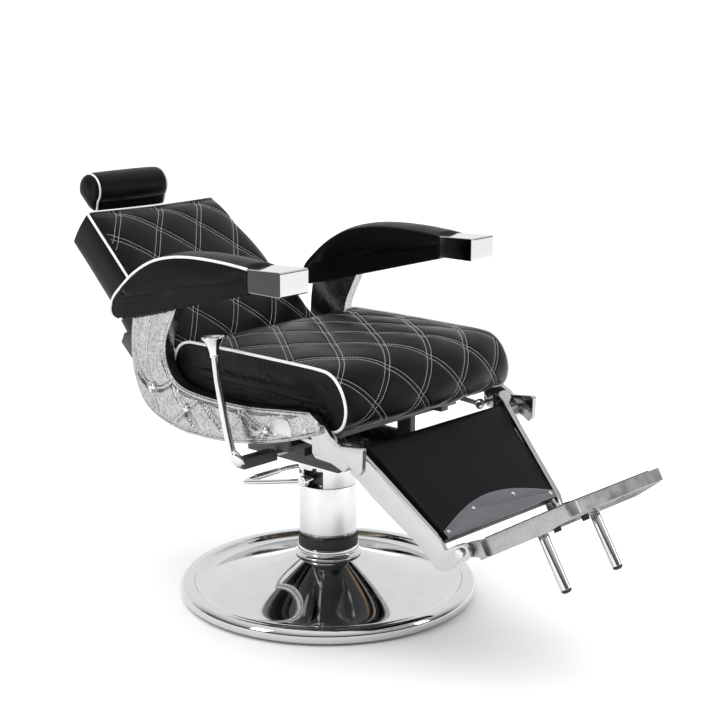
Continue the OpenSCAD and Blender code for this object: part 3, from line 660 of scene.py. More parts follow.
class Skin:
    """Finds the point and normal of a finished surface at its own flat coordinates."""

    def __init__(self, obj, flat, keep):
        obj.data.calc_loop_triangles()
        tris = np.array([t.vertices[:] for t in obj.data.loop_triangles])
        span = np.ptp(flat[tris], axis=1).max(1)
        tris = tris[(keep[tris].min(1) > 0.5) & (span < 40 * MM)]
        self.tris, self.flat = tris, flat
        self.co, self.no = coordinates(obj), normals(obj)
        verts = [(x, s, 0.0) for x, s in flat]
        self.tree = BVHTree.FromPolygons(verts, tris.tolist())

    def at(self, points):
        """Positions and normals for (x, s) points, and which of them are on the surface."""
        pos, nor, ok = [], [], []
        for x, s in points:
            hit, _, index, off = self.tree.find_nearest((x, s, 0), 4 * MM)
            if index is None or off > 0.6 * MM:
                pos.append((0, 0, 0))
                nor.append((0, 0, 1))
                ok.append(False)
                continue
            tri = self.tris[index]
            a, b, c = self.flat[tri]
            m = np.array([b - a, c - a]).T
            det = m[0, 0] * m[1, 1] - m[0, 1] * m[1, 0]
            d = np.array([hit[0], hit[1]]) - a
            v = (d[0] * m[1, 1] - m[0, 1] * d[1]) / det
            w = (m[0, 0] * d[1] - d[0] * m[1, 0]) / det
            k = np.array([1 - v - w, v, w])
            pos.append(k @ self.co[tri])
            nor.append(k @ self.no[tri])
            ok.append(True)
        return np.array(pos), unit(np.array(nor)), np.array(ok)


def stitch_mesh(name, runs, pitch=5.6 * MM, length=4.4 * MM, radius=0.5 * MM, sides=6):
    """Separate stitches along runs, each a pair of positions and surface normals."""
    rows, heights = np.linspace(-0.5, 0.5, 5), np.array([-0.35, 0.35, 0.6, 0.35, -0.35])
    girth = np.array([0.55, 1, 1, 1, 0.55])
    a = np.linspace(0, 2 * np.pi, sides, endpoint=False)
    verts = []
    for pos, nor in runs:
        s, total = lengths(pos)
        centres = np.arange(pitch, total - pitch / 2, pitch)
        for c in centres:
            want = c + rows * length
            p = np.stack([np.interp(want, s, pos[:, k]) for k in range(3)], 1)
            n = unit(np.array([np.interp(c, s, nor[:, k]) for k in range(3)]))
            t = unit(p[-1] - p[0])
            side = np.cross(t, n)
            p = p + n * (heights * radius)[:, None]
            ring = side[None] * np.cos(a)[:, None] + n[None] * np.sin(a)[:, None]
            verts.append((p[:, None] + ring[None] * (girth * radius)[:, None, None]).reshape(-1, 3))
    per = len(rows) * sides
    one = grid_faces(len(rows), sides, close_cols=True)
    one += [list(range(sides))[::-1], list(range(per - sides, per))]
    faces = [[i + k * per for i in f] for k in range(len(verts)) for f in one]
    return new_mesh(name, np.vstack(verts), faces)


def stitched_runs(skin, lines, shortest=12 * MM):
    """Splits flat stitch lines into the stretches that lie on the surface."""
    runs = []
    for line in lines:
        pos, nor, ok = skin.at(line)
        start = None
        for k in range(len(ok) + 1):
            on = k < len(ok) and ok[k]
            if on and start is None:
                start = k
            if not on and start is not None:
                if k - start > 3 and lengths(pos[start:k])[1] > shortest:
                    runs.append((pos[start:k], nor[start:k]))
                start = None
    return runs


def piping(name, path, radius=3.1 * MM, closed=False):
    """A welt of white vinyl with the small ripples that its core leaves."""
    p = resample(path, max(12, int(lengths(path, closed)[1] / (3 * MM))), closed)
    ripple = 1 + 0.03 * np.sin(np.arange(len(p)) * 2.1) * np.sin(np.arange(len(p)) * 0.37)
    return tube(name, p, radius * ripple, sides=12, closed=closed)


# ---------------------------------------------------------------- seat

SEAT_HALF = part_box("seat_cushion")[1].x
SEAT_TOP = [[212, 508], [215, 530], [212, 556], [200, 582], [182, 596], [160, 602]]
SEAT_NOSE = [[-226, 603], [-262, 597], [-285, 578], [-299, 552], [-303, 526], [-296, 500], [-280, 485], [-258, 479]]
SEAT_CROWN = 18 * MM
NOSE_CROWN = 13 * MM
SEAT_DIAMONDS = dict(width=127 * MM, height=166 * MM)
SEAT_ROW = 99.5 * MM
SEAT_BOW = 16 * MM


def seat_outline():
    rear = spline(np.array([[200, 484], [208, 494]] + SEAT_TOP), 5)
    nose = spline(np.array([[-120, 604]] + SEAT_NOSE), 6)
    loop = np.vstack([rear, [[20, 604]], nose[1:], [[-250, 478.5], [196, 478.5]]]) * MM
    return resample(loop[::-1], 268, closed=True)


def seat():
    """The seat cushion: a loft across the chair, settled by simulation, then quilted and stitched."""
    outline = seat_outline()
    # start the loop at the front lower edge, so that the distance round it runs back over the seat
    front = np.argmin(np.hypot(outline[:, 0] + 258 * MM, outline[:, 1] - 479 * MM))
    outline = np.roll(outline, -front, axis=0)
    if outline[5][1] < outline[0][1] + 1 * MM:
        outline = np.roll(outline[::-1], 1, axis=0)
    outward = outward_of(outline)
    y, z = outline[:, 0], outline[:, 1]
    on_top = smooth((z - 0.56) / 0.04) * smooth((0.17 - y) / 0.12)
    on_nose = smooth((-0.2 - y) / 0.09) * smooth((z - 0.482) / 0.03)
    crown = np.maximum(SEAT_CROWN * on_top * (1 - on_nose) + NOSE_CROWN * on_nose, 0)
    columns = 98
    x = crowded_ends(columns) * SEAT_HALF
    loops = []
    for v in x:
        k = 1 - abs(v / SEAT_HALF) ** 2.5
        shoulder = 5 * MM * (1 - math.exp(-(SEAT_HALF - abs(v)) / (7 * MM)))
        lift = crown * k + shoulder * np.maximum(on_top, on_nose)
        p = outline + outward * lift[:, None]
        across = 1 - (v / SEAT_HALF) ** 2
        p[:, 0] -= SEAT_BOW * across * smooth((-0.2 - y) / 0.09)
        p[:, 1] -= 6 * MM * across * smooth((-0.2 - y) / 0.05) * smooth((0.5 - z) / 0.02)
        loops.append(np.column_stack([np.full(len(p), v), p]))
    loops = np.array(loops)
    core_y = np.clip(y, -0.235, 0.15)
    core = np.column_stack([core_y, np.full(len(y), 0.541)])
    spine = {0: np.column_stack([np.full(len(y), x[0]), core]),
             columns - 1: np.column_stack([np.full(len(y), x[-1]), core])}
    obj = padded_loft("seat_upholstery", loops, spine, (6 * MM, 6 * MM), (1, 0, 0), cap_reach=11 * MM)
    set_attribute(obj, "flat_x", np.r_[np.repeat(x, len(outline)), np.repeat([x[0], x[-1]], CAP_RINGS * len(outline))])
    edge, band = attribute(obj, "edge"), attribute(obj, "is_band")
    low = coordinates(obj)[:, 2] < 0.484
    inflate(obj, np.maximum(np.exp(-edge / (6 * MM)), low.astype(float)), pressure=3.0, limit=6 * MM)
    subdivided(obj)
    s, fx = attribute(obj, "round"), attribute(obj, "flat_x")
    edge, band = attribute(obj, "edge"), attribute(obj, "is_band")
    diamonds = Diamonds(s0=SEAT_ROW, **SEAT_DIAMONDS)
    quilted = band * smooth(edge / (10 * MM)) * smooth(s / (12 * MM)) * smooth((0.7 - s) / (30 * MM))
    puff = diamonds.height_at(fx, s, 5 * MM) * quilted
    push_out(obj, puff)
    puckers(obj)
    piece(obj, "leather", "chassis", "seat_cushion")

    skin = Skin(obj, np.column_stack([fx, s]), (band > 0.5).astype(float))
    lines = diamonds.lines(SEAT_HALF, 4 * MM, 0.69)
    lines = [l[np.abs(l[:, 0]) < SEAT_HALF - 3 * MM] for l in lines]
    runs = stitched_runs(skin, [l for l in lines if len(l) > 8])
    piece(stitch_mesh("seat_stitching", runs), "thread", "chassis")
    for side, sign in SIDES.items():
        path = np.column_stack([np.full(len(outline), sign * (SEAT_HALF + 0.5 * MM)), outline + outward * 0.8 * MM])
        piece(piping("seat_piping_" + side, path, closed=True), "piping", "chassis")


# ---------------------------------------------------------------- backrest

BACK_LOW_HALF = 229 * MM
BACK_HIGH_HALF = 196 * MM
BACK_LENGTH = 456 * MM
BACK_SEAM = 38 * MM
BACK_CROWN = 18 * MM
BACK_DIAMONDS = dict(width=125 * MM, height=169 * MM, s0=353.5 * MM)
OFF_PANEL = 9.0  # a flat coordinate that no stitch line reaches


def on_back(u, x, w):
    """Points given along, across and out of the backrest, in the row frame."""
    p = np.stack(np.broadcast_arrays(x, u, w), -1)
    m = np.array(BACK)
    return p @ m[:3, :3].T + m[:3, 3]


def back_half(u):
    return BACK_LOW_HALF + (BACK_HIGH_HALF - BACK_LOW_HALF) * u / BACK_LENGTH


def back_rear(u):
    """How far behind the pivot line the backrest's rear face lies, thicker low down."""
    return np.interp(u, np.array([-12, 10, 60, 150, 250, 456]) * MM, np.array([-60, -85, -84, -76, -65, -62]) * MM)


def back_loop(u, f, side_n, rear_n):
    """The backrest's section at height u: its front at each fraction f of the width, sides and rear."""
    half, rear, r = back_half(u), back_rear(u), 12 * MM
    tuck = smooth((u + 12 * MM) / (36 * MM))
    seam = (12 + 26 * tuck) * MM
    end = smooth((BACK_LENGTH + 4 * MM - u) / (40 * MM))
    full = (10 + 14 * smooth((BACK_LENGTH + 10 * MM - u) / (90 * MM)) * smooth((u + 30 * MM) / (140 * MM))) * MM
    crown = (BACK_CROWN * 0.6 * (1 - np.abs(f) ** 2.4) + full * (1 - np.exp(-(1 - np.abs(f)) * half / (9 * MM))))
    front = np.column_stack([f * half, seam + crown * (0.3 + 0.7 * end) * tuck])
    drop = np.linspace(seam, rear + r, side_n + 1)[1:]
    bow = 3 * MM * np.sin(np.linspace(0, np.pi, side_n + 1)[1:])
    left = np.column_stack([half + bow, drop])
    corner = arc((half - r, rear + r), r, 0, -90, 4)[1:]
    back = np.column_stack([np.linspace(half - r, -half + r, rear_n + 2)[1:-1], np.full(rear_n, rear)])
    back[:, 1] -= 4 * MM * (1 - (back[:, 0] / half) ** 2)
    return np.vstack([front, left, corner, back, corner[::-1] * [-1, 1], left[::-1] * [-1, 1]])


def backrest():
    """The backrest cushion, lofted from its lower end up, with its quilting on the front alone."""
    f = crowded_ends(86)
    us = np.linspace(-10 * MM, BACK_LENGTH, 96)
    loops, sag = [], 8 * MM
    for u in us:
        loop = back_loop(u, f, 17, 60)
        x, w = loop[:, 0], loop[:, 1]
        lean = smooth((u - 0.33) / 0.12) * sag * (1 - (x / back_half(u)) ** 2)
        loops.append(on_back(u - lean, x, w))
    loops = np.array(loops)
    count = loops.shape[1]
    spine = {}
    for end in (0, len(us) - 1):
        loop = back_loop(us[end], f, 17, 60)
        mid = (loop[:, 1].max() + loop[:, 1].min()) / 2
        x = np.clip(loop[:, 0], -back_half(us[end]) + 45 * MM, back_half(us[end]) - 45 * MM)
        lean = (sag * (1 - (x / back_half(us[end])) ** 2)) if end else 0
        spine[end] = on_back(us[end] - lean, x, np.full(count, mid))
    up = np.array(BACK)[:3, 1]
    obj = padded_loft("backrest_upholstery", loops, spine, (9 * MM, 5 * MM), up, cap_reach=10 * MM)
    in_caps = 2 * CAP_RINGS * count
    flat_x = np.array([np.r_[f * back_half(u), np.full(count - len(f), OFF_PANEL)] for u in us])
    set_attribute(obj, "flat_x", np.r_[flat_x.ravel(), np.full(in_caps, OFF_PANEL)])
    set_attribute(obj, "flat_u", np.r_[np.repeat(us, count), np.full(in_caps, OFF_PANEL)])
    on_front = np.array([np.r_[np.ones(len(f)), np.zeros(count - len(f))] for u in us]).ravel()
    set_attribute(obj, "front", np.r_[on_front, np.zeros(in_caps)])
    to_side = np.array([np.r_[(1 - np.abs(f)) * back_half(u), np.zeros(count - len(f))] for u in us]).ravel()
    rim = np.minimum(to_side, np.repeat(np.minimum(BACK_LENGTH - us, us + 10 * MM), count))
    set_attribute(obj, "rim", np.r_[rim, np.zeros(in_caps)])
    pinned = np.maximum(np.exp(-attribute(obj, "rim") / (6 * MM)) * attribute(obj, "front"),
                        np.exp(-attribute(obj, "edge") / (8 * MM)))
    inflate(obj, pinned, pressure=2.5, limit=5 * MM)
    subdivided(obj)
    fx, fu = attribute(obj, "flat_x"), attribute(obj, "flat_u")
    front, rim = attribute(obj, "front"), attribute(obj, "rim")
    diamonds = Diamonds(**BACK_DIAMONDS)
    quilted = (front > 0.99) * smooth(rim / (10 * MM))
    puff = diamonds.height_at(fx, fu, 5 * MM) * quilted
    push_out(obj, puff)
    piece(obj, "leather", "backrest", "back_cushion", "back_cover")
    skin = Skin(obj, np.column_stack([fx, fu]), (front > 0.99).astype(float))
    runs = stitched_runs(skin, [l[np.abs(l[:, 0]) < back_half(l[:, 1]) - 3 * MM]
                                for l in diamonds.lines(BACK_LOW_HALF, 0.0, BACK_LENGTH - 2 * MM)])
    piece(stitch_mesh("backrest_stitching", runs), "thread", "backrest")
    u = np.linspace(-8 * MM, BACK_LENGTH, 60)
    tuck = smooth((u + 12 * MM) / (36 * MM))
    left = on_back(u, back_half(u), (12 + 26 * tuck) * MM)
    x = np.linspace(1, -1, 40)[1:-1] * back_half(BACK_LENGTH)
    top = on_back(BACK_LENGTH - sag * (1 - (x / back_half(BACK_LENGTH)) ** 2) + 1 * MM, x,
                  BACK_SEAM + 5.4 * MM * (1 - (x / back_half(BACK_LENGTH)) ** 2))
    path = np.vstack([left, top, left[::-1] * [-1, 1, 1]])
    piece(piping("backrest_piping", path), "piping", "backrest")


# ---------------------------------------------------------------- headrest

HEAD_RADIUS = 37 * MM
HEAD_SEAM = 105 * MM
HEAD_END = 17 * MM
HEAD_U, HEAD_W = 560 * MM, 4 * MM


def head_outline():
    ring = arc((HEAD_U, HEAD_W), HEAD_RADIUS, -62, 186, 40)
    tip = np.array([[HEAD_U - 46 * MM, HEAD_W - 22 * MM], [HEAD_U - 44 * MM, HEAD_W - 30 * MM],
                    [HEAD_U - 30 * MM, HEAD_W - 35 * MM]])
    return resample(np.vstack([ring, tip]), 132, closed=True)


def headrest():
    """The headrest roll, with domed ends and a welt round each of them."""
    outline = head_outline()
    xs = np.linspace(-HEAD_SEAM, HEAD_SEAM, 52)
    centre = np.array([HEAD_U, HEAD_W])
    loops = []
    for x in xs:
        belly = 1 + 0.02 * (1 - (x / HEAD_SEAM) ** 2) + 0.1 * (1 - math.exp(-(HEAD_SEAM - abs(x)) / (6 * MM)))
        p = centre + (outline - centre) * belly
        loops.append(on_back(p[:, 0], np.full(len(p), x), p[:, 1]))
    core = on_back(np.full(len(outline), HEAD_U), 0.0, np.full(len(outline), HEAD_W))
    spine = {0: core + [-HEAD_SEAM, 0, 0], len(xs) - 1: core + [HEAD_SEAM, 0, 0]}
    obj = padded_loft("headrest_upholstery", np.array(loops), spine, (HEAD_END, HEAD_END), (1, 0, 0), cap_rings=12)
    inflate(obj, np.exp(-attribute(obj, "edge") / (5 * MM)), pressure=2.0, limit=3 * MM)
    subdivided(obj)
    puckers(obj, depth=0.6 * MM, pitch=9 * MM, reach=10 * MM)
    piece(obj, "leather", "headrest", "headrest_pad")
    for side, sign in SIDES.items():
        ring = on_back(outline[:, 0], np.full(len(outline), sign * HEAD_SEAM), outline[:, 1])
        ring += unit(ring - (core + [sign * HEAD_SEAM, 0, 0])) * 0.8 * MM
        piece(piping("headrest_piping_" + side, ring, 2.3 * MM, closed=True), "piping", "headrest")


# ---------------------------------------------------------------- armrests

ARM_LOW, ARM_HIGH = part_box("arm_pad_left")
ARM_TOP = [[-104, 803], [-24, 808], [60, 808], [130, 801], [195, 784], [255, 752], [302, 714], [326, 690],
           [336, 666], [331, 649], [314, 642]]
ARM_LINE = (724, -0.265)


def arm_outline():
    base = [[y, ARM_LINE[0] + ARM_LINE[1] * y] for y in np.linspace(300, -104, 30)]
    return resample(np.vstack([spline(ARM_TOP, 8), base]) * MM, 230, closed=True)


def armrest(side, sign):
    """An armrest pad with its piping, made on the left and mirrored for the right."""
    outline = arm_outline()
    y, z = outline.T
    base = ARM_LINE[0] * MM + ARM_LINE[1] * y
    outward = outward_of(outline)
    inner, outer = ARM_LOW.x, ARM_HIGH.x
    width = outer - inner
    top = smooth((z - base) / (14 * MM)) * smooth((y + 0.104) / (12 * MM))
    xs = np.linspace(inner, outer, 18)
    loops = []
    for x in xs:
        k = 1 - abs(2 * (x - inner) / width - 1) ** 2.2
        p = outline + outward * (7 * MM * k * top)[:, None]
        loops.append(np.column_stack([np.full(len(p), x), p]))
    core_y = np.clip(y, -0.09, 0.30)
    top_z = np.interp(core_y, np.array([q[0] for q in ARM_TOP[:8]]) * MM, np.array([q[1] for q in ARM_TOP[:8]]) * MM)
    core_z = (top_z + ARM_LINE[0] * MM + ARM_LINE[1] * core_y) / 2
    core = np.column_stack([core_y, core_z])
    spine = {0: np.column_stack([np.full(len(y), inner), core]), 17: np.column_stack([np.full(len(y), outer), core])}
    obj = padded_loft("armrest_upholstery_" + side, np.array(loops), spine, (3 * MM, 3 * MM), (1, 0, 0), cap_rings=10,
                      cap_reach=7 * MM)
    front = coordinates(obj)[:, 1] < -0.1
    pinned = np.maximum.reduce([np.exp(-attribute(obj, "edge") / (4 * MM)), front.astype(float)])
    inflate(obj, pinned, pressure=2.0, limit=3 * MM, frames=10)
    subdivided(obj)
    puckers(obj, depth=0.5 * MM, pitch=11 * MM, reach=9 * MM)
    co = coordinates(obj)
    co[:, 1] = np.maximum(co[:, 1], -0.104)
    set_coordinates(obj, co)
    welt = np.vstack([spline(ARM_TOP, 8), [[306, 644], [298, 646.5]]]) * MM
    welts = piping("armrest_piping_" + side, np.column_stack([np.full(len(welt), outer + 0.3 * MM), welt]), 2.9 * MM)
    if sign < 0:
        for o in (obj, welts):
            o.data.transform(Matrix.Scale(-1, 4, (1, 0, 0)))
            o.data.flip_normals()
    piece(obj, "panel", "chassis", "arm_pad_" + side)
    piece(welts, "piping", "chassis")


def arm_cap(side):
    """The armrest's front cap, chromed, with its flat sides given a darker chrome as a painted reflection of dark
    surroundings.
    """
    obj = refined("arm_cap_chrome_" + side, "arm_cap_" + side, bevel=2.2 * MM, segments=4)
    piece(obj, "chrome", "chassis", "arm_cap_" + side)
    # the flat side faces get the dark chrome copy as a painted reflection of dark surroundings; the metal is the same
    # chrome
    obj.data.materials.append(MAT["painted_dark_reflection_chrome"])
    for f in obj.data.polygons:
        f.material_index = int(abs(f.normal.x) > 0.95)


# ---------------------------------------------------------------- leg rest

CALF_W_LOW, CALF_W_HIGH = 366 * MM, 444 * MM
CALF_LENGTH, CALF_WRAP = 246 * MM, 31 * MM
CALF_TOP = (-319 * MM, 457 * MM)
CALF_FRAME = (Matrix.Translation(Vector((0, CALF_TOP[0] - CALF_LENGTH * math.cos(math.radians(CALF_ANGLE)),
                                         CALF_TOP[1] - CALF_LENGTH * math.sin(math.radians(CALF_ANGLE)))))
              @ Matrix.Rotation(math.radians(CALF_ANGLE), 4, "X"))


def calf_pad():
    """A thin padded panel, crowned a little, with rounded edges."""
    r = 7 * MM
    across = np.linspace(-1, 1, 60)
    rows = np.linspace(0, 1, 50)
    loops = []
    for t in rows:
        half = (CALF_W_LOW + (CALF_W_HIGH - CALF_W_LOW) * t) / 2
        end = min(t, 1 - t) * CALF_LENGTH
        sink = 4 * MM * math.exp(-end / (5 * MM))
        x = across * (half - r)
        z = -1.5 * MM + 2.5 * MM * (1 - np.abs(across) ** 4) * (1 - math.exp(-end / (14 * MM))) - sink
        front = np.column_stack([x, z])
        side = np.vstack([arc((half - r, -r - sink), r, 80, 0, 6), arc((half - r, r - CALF_WRAP), r, 0, -80, 6)])
        back = np.column_stack([np.linspace(half - r, -half + r, 40)[1:-1], np.full(38, -CALF_WRAP)])
        loop = np.vstack([front, side, back, side[::-1] * [-1, 1]])
        loops.append(np.column_stack([loop[:, 0], np.full(len(loop), t * CALF_LENGTH), loop[:, 1]]))
    loops = np.array(loops)
    spine = {}
    for end in (0, len(rows) - 1):
        core = loops[end].copy()
        core[:, 2] = -CALF_WRAP / 2
        core[:, 0] = np.clip(core[:, 0], -0.17, 0.17)
        spine[end] = core
    obj = padded_loft("calf_upholstery", loops, spine, (1 * MM, 1 * MM), (0, 1, 0), cap_rings=4)
    placed(obj, CALF_FRAME)
    subdivided(obj)
    piece(obj, "panel", "legrest", "calf_pad")


# ---------------------------------------------------------------- base and column

BASE_R = 340 * MM
# The cover's cone, in millimetres: radius and height at its foot, and its run and rise up to the collar.
DOME_FOOT, DOME_LOW, DOME_RUN, DOME_RISE = 288, 22, 215, 68
DOME_WALL = 4
DOME_CURVE = 1.3


def base():
    """The chrome cover: a rolled rim, a well inside it and the cone that rises to the collar."""
    rim = arc((BASE_R - 18 * MM, 20 * MM), 18 * MM, -75, 75, 20)
    crest = arc((BASE_R - 24 * MM, 28.5 * MM), 9.5 * MM, 60, 150, 10)
    well = [[BASE_R - 36 * MM, 27 * MM], [BASE_R - 44 * MM, 24 * MM]]
    outside, inside = [
        [[(DOME_FOOT - wall - DOME_RUN * t) * MM, (DOME_LOW - wall + DOME_RISE * t ** DOME_CURVE) * MM] for t in steps]
        for wall, steps in ((0, np.linspace(0.02, 1, 60)), (DOME_WALL, np.linspace(1, 0.02, 30)))]
    profile = np.vstack([[[BASE_R - 42 * MM, 5 * MM], [BASE_R - 25 * MM, 4 * MM]], rim, crest, well, outside, inside,
                         [[BASE_R - 42 * MM, 5 * MM]]])
    obj = lathe("base_dome_chrome", profile, segments=256)
    piece(obj, "chrome", "base", "base_shell")
    sharp_smooth(obj, 40)


# ---------------------------------------------------------------- side castings

CASTING_LOW = [[312, 641], [318, 600], [319, 561], [313, 518], [286, 461], [240, 430], [162, 411], [90, 409],
               [17, 413], [-60, 423], [-150, 444], [-215, 464], [-257, 480], [-264, 494], [-260, 506], [-234, 522]]
CASTING_HIGH = [[-151, 513], [-62, 503], [40, 500], [128, 505], [173, 520], [197, 550], [204, 582], [200, 610],
                [186, 640], [165, 680]]
STUDS = [(246, 496), (137, 465), (-109, 462)]
BADGE = (-159, 483)
PLEATS = [
    [(246, 496), (262, 535), (266, 585), (252, 640)],
    [(246, 496), (276, 512), (300, 545), (311, 590)],
    [(246, 496), (216, 500), (190, 514), (176, 526)],
    [(246, 496), (244, 470), (230, 438)],
    [(137, 465), (112, 440), (94, 414)],
    [(137, 465), (112, 484), (92, 500)],
    [(137, 465), (158, 488), (176, 514)],
    [(137, 465), (166, 440), (196, 420)],
    [(22, 416), (2, 442), (-26, 474), (-46, 500)],
    [(-8, 418), (18, 444), (56, 472), (84, 498)],
    [(-2, 500), (-42, 486), (-78, 470), (-109, 462)],
    [(-109, 462), (-94, 446), (-72, 430)],
    [(-109, 462), (-122, 482), (-136, 506)],
    [(-109, 462), (-134, 456), (-152, 450)],
]


def casting_outline(closed=True):
    """The casting's outline. Its last side, under the armrest, is left out if it isn't closed."""
    return resample(np.vstack([spline(CASTING_LOW, 8), spline(CASTING_HIGH, 8)]) * MM, 420, closed=closed)


def inside(points, outline):
    """Which points lie inside a closed outline."""
    y, z = points[:, 0:1], points[:, 1:2]
    a, b = outline, np.roll(outline, -1, 0)
    straddles = (a[None, :, 1] > z) != (b[None, :, 1] > z)
    slope = (b[:, 0] - a[:, 0]) / np.where(b[:, 1] == a[:, 1], 1e-9, b[:, 1] - a[:, 1])
    cross = a[None, :, 0] + (z - a[None, :, 1]) * slope[None]
    return np.sum(straddles & (y < cross), axis=1) % 2 == 1


def nearest_on(points, path):
    """Distance to a densely sampled path, and its nearest sample."""
    gap = points[:, None] - path[None]
    d = np.hypot(gap[..., 0], gap[..., 1])
    k = d.argmin(1)
    return d[np.arange(len(points)), k], path[k]


def casting_relief(points, depth):
    """Height of the tufted relief over the casting's face. depth is the distance in from the outline."""
    y = points[:, 0]
    field = smooth((depth - 9 * MM) / (5 * MM))
    h = 0.5 * MM + 1.5 * MM * np.exp(-((depth - 4.5 * MM) / (2.6 * MM)) ** 2)
    puff = np.full(len(points), 1.0)
    ridge = np.zeros(len(points))
    for pleat in PLEATS:
        d, _ = nearest_on(points, resample(spline(pleat, 8) * MM, 90))
        puff *= 1 - 0.95 * np.exp(-(d / (8 * MM)) ** 2)
        ridge = np.maximum(ridge, np.exp(-(d / (2.6 * MM)) ** 4))
    for stud in STUDS:
        r = np.hypot(points[:, 0] - stud[0] * MM, points[:, 1] - stud[1] * MM)
        puff *= 1 - np.exp(-(r / (11 * MM)) ** 2)
        ridge *= smooth((r - 7 * MM) / (7 * MM))
    r = np.hypot(points[:, 0] - BADGE[0] * MM, points[:, 1] - BADGE[1] * MM + 8 * MM)
    calm = smooth((r - 24 * MM) / (6 * MM)) * smooth((y + 0.212) / 0.02)
    return h + field * calm * (5 * MM * puff + 3.4 * MM * ridge)


def casting(side, sign):
    """The cast body with rounded edges, under a skin that carries its rim and tufted relief."""
    body = refined("casting_body_" + side, "side_casting_" + side, bevel=2.5 * MM, segments=4)
    piece(body, "casting", "chassis", "side_casting_" + side)
    outline = casting_outline()
    step = 2.2 * MM
    ys = np.arange(outline[:, 0].min() - step, outline[:, 0].max() + 2 * step, step)
    zs = np.arange(outline[:, 1].min() - step, outline[:, 1].max() + 2 * step, step)
    grid = np.stack(np.meshgrid(ys, zs, indexing="ij"), -1).reshape(-1, 2)
    within = inside(grid, outline)
    d, near = nearest_on(grid, outline)
    rim_gap, _ = nearest_on(grid, casting_outline(closed=False))
    depth = np.where(within, rim_gap, 0)
    grid = np.where(within[:, None], grid, near)
    faces = []
    for f in grid_faces(len(ys), len(zs)):
        if within[f].any() and d[f].max() < 1 or within[f].all():
            faces.append(f)
    used = np.unique(np.array(faces))
    index = np.full(len(grid), -1)
    index[used] = np.arange(len(used))
    faces = index[np.array(faces)].tolist()
    grid, depth = grid[used], depth[used]
    height = casting_relief(grid, depth)
    edge = np.clip(depth / (3 * MM), 0, 1)
    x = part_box("side_casting_left")[1].x + height * edge - 2.2 * MM * (1 - edge) ** 2
    verts = np.column_stack([x * sign, grid])
    obj = new_mesh("casting_relief_" + side, verts, faces if sign > 0 else [f[::-1] for f in faces])
    bm = bmesh.new()
    bm.from_mesh(obj.data)
    bmesh.ops.remove_doubles(bm, verts=bm.verts, dist=1e-5)
    bmesh.ops.recalc_face_normals(bm, faces=bm.faces)
    if sum(f.normal.x * f.calc_area() for f in bm.faces) * sign < 0:
        bmesh.ops.reverse_faces(bm, faces=bm.faces)
    bm.to_mesh(obj.data)
    bm.free()
    piece(obj, "casting", "chassis")


def dome(name, point, axis, r, h, rings=10, sides=32):
    """A domed head that rises along an axis."""
    a = np.linspace(0, np.pi / 2, rings)
    profile = np.column_stack([r * np.cos(a), h * np.sin(a)])
    axis = unit(np.array(axis, float))
    u = unit(np.cross(axis, [0, 0.3, 1]))
    w = np.cross(axis, u)
    t = np.linspace(0, 2 * np.pi, sides, endpoint=False)
    ring = u[None] * np.cos(t)[:, None] + w[None] * np.sin(t)[:, None]
    point = np.asarray(point)
    verts = point + profile[:-1, None, :1] * ring[None] + (profile[:-1, None, 1:] * axis)
    verts = np.vstack([point + ring * r - axis * 3 * MM, verts.reshape(-1, 3), [point + axis * h]])
    faces = grid_faces(rings, sides, close_cols=True)
    last = len(verts) - 1
    faces += [[last - sides + k, last - sides + (k + 1) % sides, last] for k in range(sides)]
    return new_mesh(name, verts, faces)


def studs():
    """Chrome buttons in the tufts, and the small screw on the front boss."""
    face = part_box("side_casting_left")[1].x
    parts = []
    for sign in (-1, 1):
        for y, z in STUDS:
            parts.append(dome("stud", (sign * (face + 1.5 * MM), y * MM, z * MM), (sign, 0, 0), 9 * MM, 7 * MM))
        parts.append(dome("screw", (sign * (face + 0.3 * MM), -0.222, 0.484), (sign, 0, 0), 5 * MM, 3 * MM))
    piece(join("casting_buttons", parts), "chrome", "chassis", "casting_studs")


# ---------------------------------------------------------------- levers

def oval_bar(name, path, half_side, half_up, sides=24):
    """A bar of oval section along a path, with rounded ends."""
    p = np.asarray(path, float)
    _, u, w = frames_along(p)
    a = np.linspace(0, 2 * np.pi, sides, endpoint=False)
    hs = np.broadcast_to(np.asarray(half_side, float), (len(p),))
    hu = np.broadcast_to(np.asarray(half_up, float), (len(p),))
    ring = (u[:, None] * np.cos(a)[None, :, None] * hs[:, None, None]
            + w[:, None] * np.sin(a)[None, :, None] * hu[:, None, None])
    verts = (p[:, None] + ring).reshape(-1, 3)
    faces = grid_faces(len(p), sides, close_cols=True)
    faces += [list(range(sides))[::-1], [len(verts) - sides + k for k in range(sides)]]
    return new_mesh(name, verts, faces)


